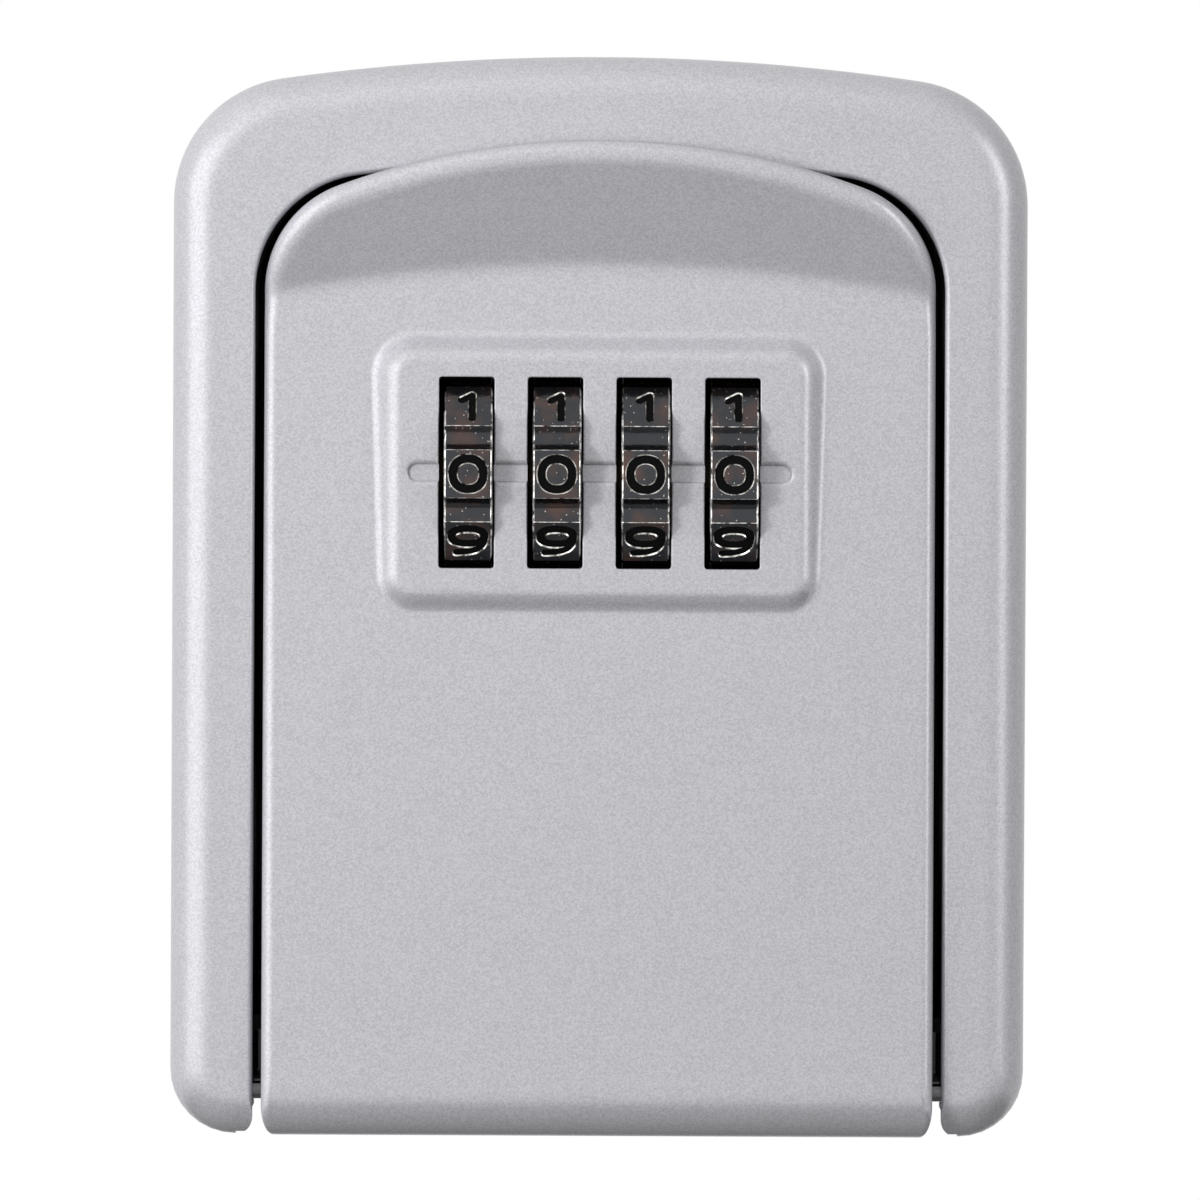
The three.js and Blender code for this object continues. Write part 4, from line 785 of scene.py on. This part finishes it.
def wheelMesh():
    mesh = bmesh.new()
    half = dial["width"] / 2
    profile = [(r * math.sin(turn), r * math.cos(turn)) for turn, r in wheelProfile()]
    bore = [(dial["bore"] * math.sin(turn), dial["bore"] * math.cos(turn)) for turn, r in wheelProfile()]
    rows = [(-(half - dial["edge"] * away), dial["edge"] * drop) for away, drop in quarterTurn(4)]
    rows += [(-x, step) for x, step in reversed(rows)]
    loops = [wheelRing(mesh, x, inset(profile, -step)) for x, step in rows]
    for level, (p, q) in enumerate(zip(loops, loops[1:])):
        for i in range(len(p)):
            j = (i + 1) % len(p)
            # painted highlight: the rows of the edge rounding and thin strips at the corners of each land
            # take the bright chrome
            edgeHighlight = level in (1, 2, 6, 7) or i % 16 in (0, 3)
            mesh.faces.new((p[i], p[j], q[j], q[i])).material_index = 1 if edgeHighlight else 0
    ends = [wheelRing(mesh, x, bore) for x in (-half, half)]
    joinRings(mesh, loops[0], ends[0])
    joinRings(mesh, loops[-1], ends[1])
    joinRings(mesh, ends[0], ends[1])
    return mesh


def notchMesh():
    mesh = bmesh.new()
    star = [(math.radians(36 * i + angle), radius) for i in range(10) for angle, radius in
            ((-9, dial["notch"]), (9, dial["notch"]), (12, dial["bore"] - 0.5), (24, dial["bore"] - 0.5))]
    outline = [(radius * math.sin(turn), radius * math.cos(turn)) for turn, radius in star]
    side = -dial["width"] / 2
    joinAll(mesh, [wheelRing(mesh, x, outline) for x in (side - 1, side + dial["notchReach"])], capped=True)
    return mesh


wheelFinishes = [blackChrome, highlightChrome, digitInk]
wheelBody = toObject(wheelMesh(), "dial_blank", wheelFinishes)
# ten notches inside the bore take the hub's dog while the code slide is home
carve(wheelBody, toObject(notchMesh(), "notches", wheelFinishes), "MANIFOLD")
# strokes of a digit can cross, so each pass cuts one stroke of every digit
for number in range(max(len(strokes) for strokes in digitLines.values())):
    mesh = bmesh.new()
    for digit, strokes in digitLines.items():
        if number < len(strokes):
            addStroke(mesh, digit, *strokes[number])
    carve(wheelBody, toObject(mesh, "digits", wheelFinishes), "MANIFOLD")
for i, x in enumerate(wheelXs):
    data = wheelBody.data.copy()
    data.transform(Matrix.Translation(((x + dial["shift"]) * mm, 0, 0)))
    wheel = shaded(data, f"dial_{i + 1}_engraved", wheelFinishes, 30)
    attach(wheel, f"wheel_{i + 1}")
    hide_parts(f"dial_{i + 1}")
bpy.data.objects.remove(wheelBody)
print("wheels:", len(wheel.data.polygons), "faces each")


# Pieces that keep the CAD shape: a merged copy with rounded edges
def refined(nodeName, width, segments, body, slot):
    node = nodes[nodeName]
    mesh = bmesh.new()
    mesh.from_mesh(node.data)
    mesh.transform(node.matrix_world)
    bmesh.ops.remove_doubles(mesh, verts=mesh.verts, dist=1e-6)
    bmesh.ops.dissolve_limit(mesh, angle_limit=math.radians(1), verts=mesh.verts, edges=mesh.edges)
    data = bpy.data.meshes.new(nodeName + "_dressed")
    mesh.to_mesh(data)
    mesh.free()
    piece = bpy.data.objects.new(nodeName + "_dressed", data)
    scene.collection.objects.link(piece)
    softened = piece.modifiers.new("softened", "BEVEL")
    softened.width = width * mm
    softened.segments = segments
    softened.limit_method = "ANGLE"
    softened.angle_limit = math.radians(30)
    baked(piece)
    data = piece.data
    bpy.data.objects.remove(piece)
    piece = shaded(data, nodeName + "_dressed", [finishes[slot]], 35)
    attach(piece, body)
    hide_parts(nodeName)
    return piece


plain = {"back_plate": (0.25, "case", "zinc_steel"), "key_hook": (0.22, "case", "zinc_steel"),
         "strike_plate": (0.2, "case", "zinc_steel"), "inner_liner": (0.35, "case", "black_plastic"),
         "inner_cover": (0.45, "door", "black_plastic"), "dial_frame": (0.15, "door", "zinc_steel"),
         "latch_bar": (0.2, "latch", "zinc_steel"), "code_lever": (0.25, "code_slide", "black_plastic")}
for nodeName, (width, body, slot) in plain.items():
    refined(nodeName, width, 3, body, slot)
# the crest of each detent leaf is set low enough for a flat of its wheel to pass over it
leafDrop, leafCrest = 0.14 * mm, 0.7 * mm
for i in range(4):
    leaf = refined(f"detent_spring_{i + 1}", 0.04, 2, "door", "spring_steel")
    crest = max(vertex.co.z for vertex in leaf.data.vertices)
    for vertex in leaf.data.vertices:
        vertex.co.z -= leafDrop * max(1 - (crest - vertex.co.z) / leafCrest, 0)
print("refined pieces made")

# Screws: a thread and a cross recess modelled once for each kind, set out on their spots by Geometry Nodes
screwKinds = {  # radius of head, its height, radius of shoulder, its length, whole length, form of the head
    "a_back": (2.18, 1.2, 0, 0, 10.7, "sunk"), "b_hook": (2.08, 1.25, 0, 0, 3.75, "pan"),
    "c_strike": (2.08, 1.3, 0, 0, 4.75, "pan"), "d_cover_low": (2.08, 1.3, 0, 0, 12.5, "pan"),
    "e_cover_high": (2.08, 1.3, 0, 0, 11.4, "pan"), "f_frame": (2.08, 1.3, 0, 0, 3.1, "pan"),
    "g_guide": (2.85, 1.1, 1.55, 3.2, 6.85, "pan")}
thread = {"outer": 1.15, "root": 0.88, "pitch": 0.75, "around": 20, "rows": 8, "ridge": 0.34,
          "recess": 1.15, "slotHalf": 0.28}


def screwMesh(headRadius, headHeight, shoulderRadius, shoulderLength, length, form):
    mesh = bmesh.new()
    if form == "sunk":
        profile = [(headRadius - 0.1, 0), (headRadius, -0.1), (thread["outer"] + 0.05, -headHeight)]
    else:
        profile = [(headRadius * 0.5, -0.04), (headRadius * 0.78, -0.14), (headRadius * 0.93, -0.34),
                   (headRadius, -0.62), (headRadius, -headHeight + 0.12), (headRadius - 0.12, -headHeight)]
    below = -headHeight
    if shoulderLength:
        profile += [(shoulderRadius, below), (shoulderRadius, below - shoulderLength + 0.1),
                    (shoulderRadius - 0.1, below - shoulderLength)]
        below -= shoulderLength
    profile.append((thread["root"], below))
    turns = int((length + below - 0.5) / thread["pitch"])
    around = thread["around"]

    def circle(radius, y, wave=False):
        points = []
        for i in range(around):
            angle = 2 * math.pi * i / around
            r = radius
            if wave:
                phase = ((y - below) / thread["pitch"] - i / around) % 1
                ridge = max(0, 1 - abs(phase - 0.5) / thread["ridge"])
                r = thread["root"] + (thread["outer"] - thread["root"]) * ridge
            points.append(mesh.verts.new((r * math.cos(angle) * mm, y * mm, r * math.sin(angle) * mm)))
        return points

    rows = [circle(r, y) for r, y in profile]
    start = below - 0.12
    count = turns * thread["rows"]
    rows += [circle(0, start - thread["pitch"] * i / thread["rows"], True) for i in range(count + 1)]
    rows += [circle(thread["root"] * 0.9, -length + 0.25), circle(thread["root"] * 0.55, -length)]
    joinAll(mesh, rows, capped=True)
    return mesh


def recessMesh(turned):
    mesh = bmesh.new()
    reach, half = thread["recess"], thread["slotHalf"]
    loops = []
    for x, z, y in ((reach + 0.12, half + 0.03, 0.3), (reach, half, -0.05),
                    (reach * 0.62, half * 0.8, -0.75)):
        corners = ((-x, -z), (x, -z), (x, z), (-x, z))
        loops.append([mesh.verts.new(((b if turned else a) * mm, y * mm, (a if turned else b) * mm))
                      for a, b in corners])
    joinAll(mesh, loops, capped=True)
    return mesh


kinds = bpy.data.collections.new("screw_kinds")
for kind, values in screwKinds.items():
    screw = toObject(screwMesh(*values), kind, [zincSteel])
    for turned in (False, True):
        carve(screw, toObject(recessMesh(turned), "recess", [zincSteel]), "MANIFOLD")
    scene.collection.objects.unlink(screw)
    kinds.objects.link(screw)

screwSpots = {  # x, depth of the head, height, kind, head towards the front, CAD node
    "case": [(x, 0.3, z, 0, False, f"back_screw_{i + 1}") for i, (x, z) in enumerate(
        ((-42.2, 18), (-42.2, 98), (42.2, 18), (42.2, 98)))]
    + [(0, 6.9, 52.6, 1, True, "hook_screw")]
    + [(x, 27.9, 112.3, 2, False, f"strike_screw_{i + 1}") for i, x in enumerate((-11, 11))],
    "door": [(x, 20.6, z, 3 if z < 30 else 4, False, f"cover_screw_{i + 1}") for i, (x, z) in enumerate(
        ((-30.75, 15), (-30.75, 50), (30.75, 15), (30.75, 50)))]
    + [(x, 28.2, z, 5, False, f"frame_screw_{i + 1}") for i, (x, z) in enumerate(
        ((-27, 66), (-27, 75.5), (27, 66), (27, 75.5)))]
    + [(x, 23.1, 94.2, 6, False, f"guide_screw_{i + 1}") for i, x in enumerate((-13, 13))]}

tree = bpy.data.node_groups.new("screws_on_spots", "GeometryNodeTree")
face = tree.interface
sockets = {name: face.new_socket(name, in_out="INPUT", socket_type="NodeSocket" + kind).identifier
           for name, kind in (("Spots", "Geometry"), ("Screw Kinds", "Collection"), ("Turn Seed", "Int"),
                              ("Finish", "Material"))}
face.new_socket("Screws", in_out="OUTPUT", socket_type="NodeSocketGeometry")
given = addNode(tree, "NodeGroupInput").outputs
pool = addNode(tree, "GeometryNodeCollectionInfo", {
    "Collection": given["Screw Kinds"], "Separate Children": True, "Reset Children": True})
which = addNode(tree, "GeometryNodeInputNamedAttribute", {"Name": "kind"}, data_type="INT")
facing = addNode(tree, "GeometryNodeInputNamedAttribute", {"Name": "facing"}, data_type="FLOAT")
driven = addNode(tree, "FunctionNodeRandomValue", {2: 0.0, 3: 1.57, "Seed": given["Turn Seed"]},
                 data_type="FLOAT")
turned = addNode(tree, "ShaderNodeCombineXYZ", {"Y": driven.outputs[1], "Z": facing.outputs["Attribute"]})
setOut = addNode(tree, "GeometryNodeInstanceOnPoints", {
    "Points": given["Spots"], "Instance": pool.outputs[0], "Pick Instance": True,
    "Instance Index": which.outputs["Attribute"], "Rotation": turned.outputs[0]})
solid = addNode(tree, "GeometryNodeRealizeInstances", {"Geometry": setOut.outputs[0]})
finished = addNode(tree, "GeometryNodeSetMaterial", {
    "Geometry": solid.outputs[0], "Material": given["Finish"]})
addNode(tree, "NodeGroupOutput", {"Screws": finished.outputs[0]})

turnSeed = 11
for number, (body, spots) in enumerate(screwSpots.items()):
    data = bpy.data.meshes.new(body + "_screws")
    data.from_pydata([(x * mm, -depth * mm, (z - mountHeight) * mm)
                      for x, depth, z, *rest in spots], [], [])
    data.attributes.new("kind", "INT", "POINT").data.foreach_set("value", [spot[3] for spot in spots])
    data.attributes.new("facing", "FLOAT", "POINT").data.foreach_set(
        "value", [math.pi if spot[4] else 0.0 for spot in spots])
    screws = bpy.data.objects.new(body + "_screws", data)
    scene.collection.objects.link(screws)
    setter = screws.modifiers.new("screws", "NODES")
    setter.node_group = tree
    for name, value in (("Screw Kinds", kinds), ("Turn Seed", turnSeed + number), ("Finish", zincSteel)):
        setter[sockets[name]] = value
    baked(screws)
    screws.data.shade_smooth()
    screws.data.set_sharp_from_angle(angle=math.radians(35))
    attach(screws, body)
    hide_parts(*[spot[5] for spot in spots])
    print(body, "screws:", len(screws.data.polygons), "faces")
for screw in list(kinds.objects):
    bpy.data.objects.remove(screw)
bpy.data.collections.remove(kinds)

# Every other solid of the frame keeps its shape and gets its finish
slotOf = {"hinge_pin": "pin_steel", "inner_liner": "black_plastic", "inner_cover": "black_plastic",
          "code_lever": "black_plastic", "hub": "brass", "detent_spring": "spring_steel",
          "latch_spring": "spring_steel", "spindle_clip": "spring_steel", "body_shell": "silver_paint",
          "door_shell": "silver_paint", "dial_1": "black_chrome", "dial_2": "black_chrome",
          "dial_3": "black_chrome", "dial_4": "black_chrome"}
for name, node in nodes.items():
    slot = next((slot for start, slot in slotOf.items() if name.startswith(start)), "zinc_steel")
    finish = finishes[slot]
    if not node.material_slots:
        node.data.materials.append(finish)
    for slotItem in node.material_slots:
        slotItem.material = finish

# Floor, world, lamps and camera
studio = {"floorDepth": -0.55, "floorRadius": 0.9, "cameraDistance": 1.5, "elevation": 1.3, "roll": 0.28,
          "lens": 400.9, "centre": (0.00012, -0.017, -0.00268), "ambient": 0.145}
mesh = bmesh.new()
bmesh.ops.create_circle(mesh, cap_ends=True, segments=96, radius=studio["floorRadius"])
data = bpy.data.meshes.new("floor")
mesh.to_mesh(data)
mesh.free()
floor = bpy.data.objects.new("floor", data)
floor.location = (0, 0, studio["floorDepth"])
scene.collection.objects.link(floor)
floorFinish = newMaterial("pale_matt_floor", {"Base Color": linear("e0e0e0"), "Roughness": 0.9})[0]
data.materials.append(floorFinish)

world = bpy.data.worlds.new("studio")
world.use_nodes = True
scene.world = world
tree = world.node_tree
background = tree.nodes["Background"]
rays = addNode(tree, "ShaderNodeLightPath").outputs
seen = maths(tree, "MAXIMUM", rays["Is Camera Ray"], rays["Is Glossy Ray"])
seen = maths(tree, "MAXIMUM", seen, rays["Is Transmission Ray"])
strength = roughRange(tree, seen, studio["ambient"], 1.0)
background.inputs["Color"].default_value = (1, 1, 1, 1)
tree.links.new(strength, background.inputs["Strength"])

# name: azimuth to the right, elevation, distance in metres, width, height, watts
lamps = {"left_strip": (-52, 10, 0.8, 0.72, 0.6, 2.4), "right_strip": (55, 14, 0.8, 0.24, 0.5, 1.25),
         "top": (-24, 50, 0.5, 0.4, 0.3, 1.05), "key": (-44, 10, 0.5, 0.08, 0.08, 1.12)}
for name, (azimuth, elevation, distance, width, height, watts) in lamps.items():
    light = bpy.data.lights.new(name, "AREA")
    light.shape = "RECTANGLE"
    light.size, light.size_y, light.energy = width, height, watts
    lamp = bpy.data.objects.new(name, light)
    turn, lift = math.radians(azimuth), math.radians(elevation)
    towards = Vector((math.sin(turn) * math.cos(lift), -math.cos(turn) * math.cos(lift), math.sin(lift)))
    lamp.location = Vector((0, -0.03, 0)) + distance * towards
    lamp.rotation_euler = (-towards).to_track_quat("-Z", "Y").to_euler()
    lamp.visible_glossy = name.endswith("strip")  # the others only shade, without glare along the rim
    scene.collection.objects.link(lamp)

cameraData = bpy.data.cameras.new("camera")
cameraData.lens = studio["lens"]
cameraData.sensor_width = 36
cameraData.clip_start = 0.05
camera = bpy.data.objects.new("camera", cameraData)
tilt = math.radians(studio["elevation"])
centre = Vector(studio["centre"])
camera.location = centre + studio["cameraDistance"] * Vector((0, -math.cos(tilt), math.sin(tilt)))
aim = (centre - camera.location).to_track_quat("-Z", "Y").to_matrix().to_4x4()
camera.rotation_euler = (aim @ Matrix.Rotation(math.radians(studio["roll"]), 4, "Z")).to_euler()
scene.collection.objects.link(camera)
scene.camera = camera
scene.view_settings.view_transform = "Standard"
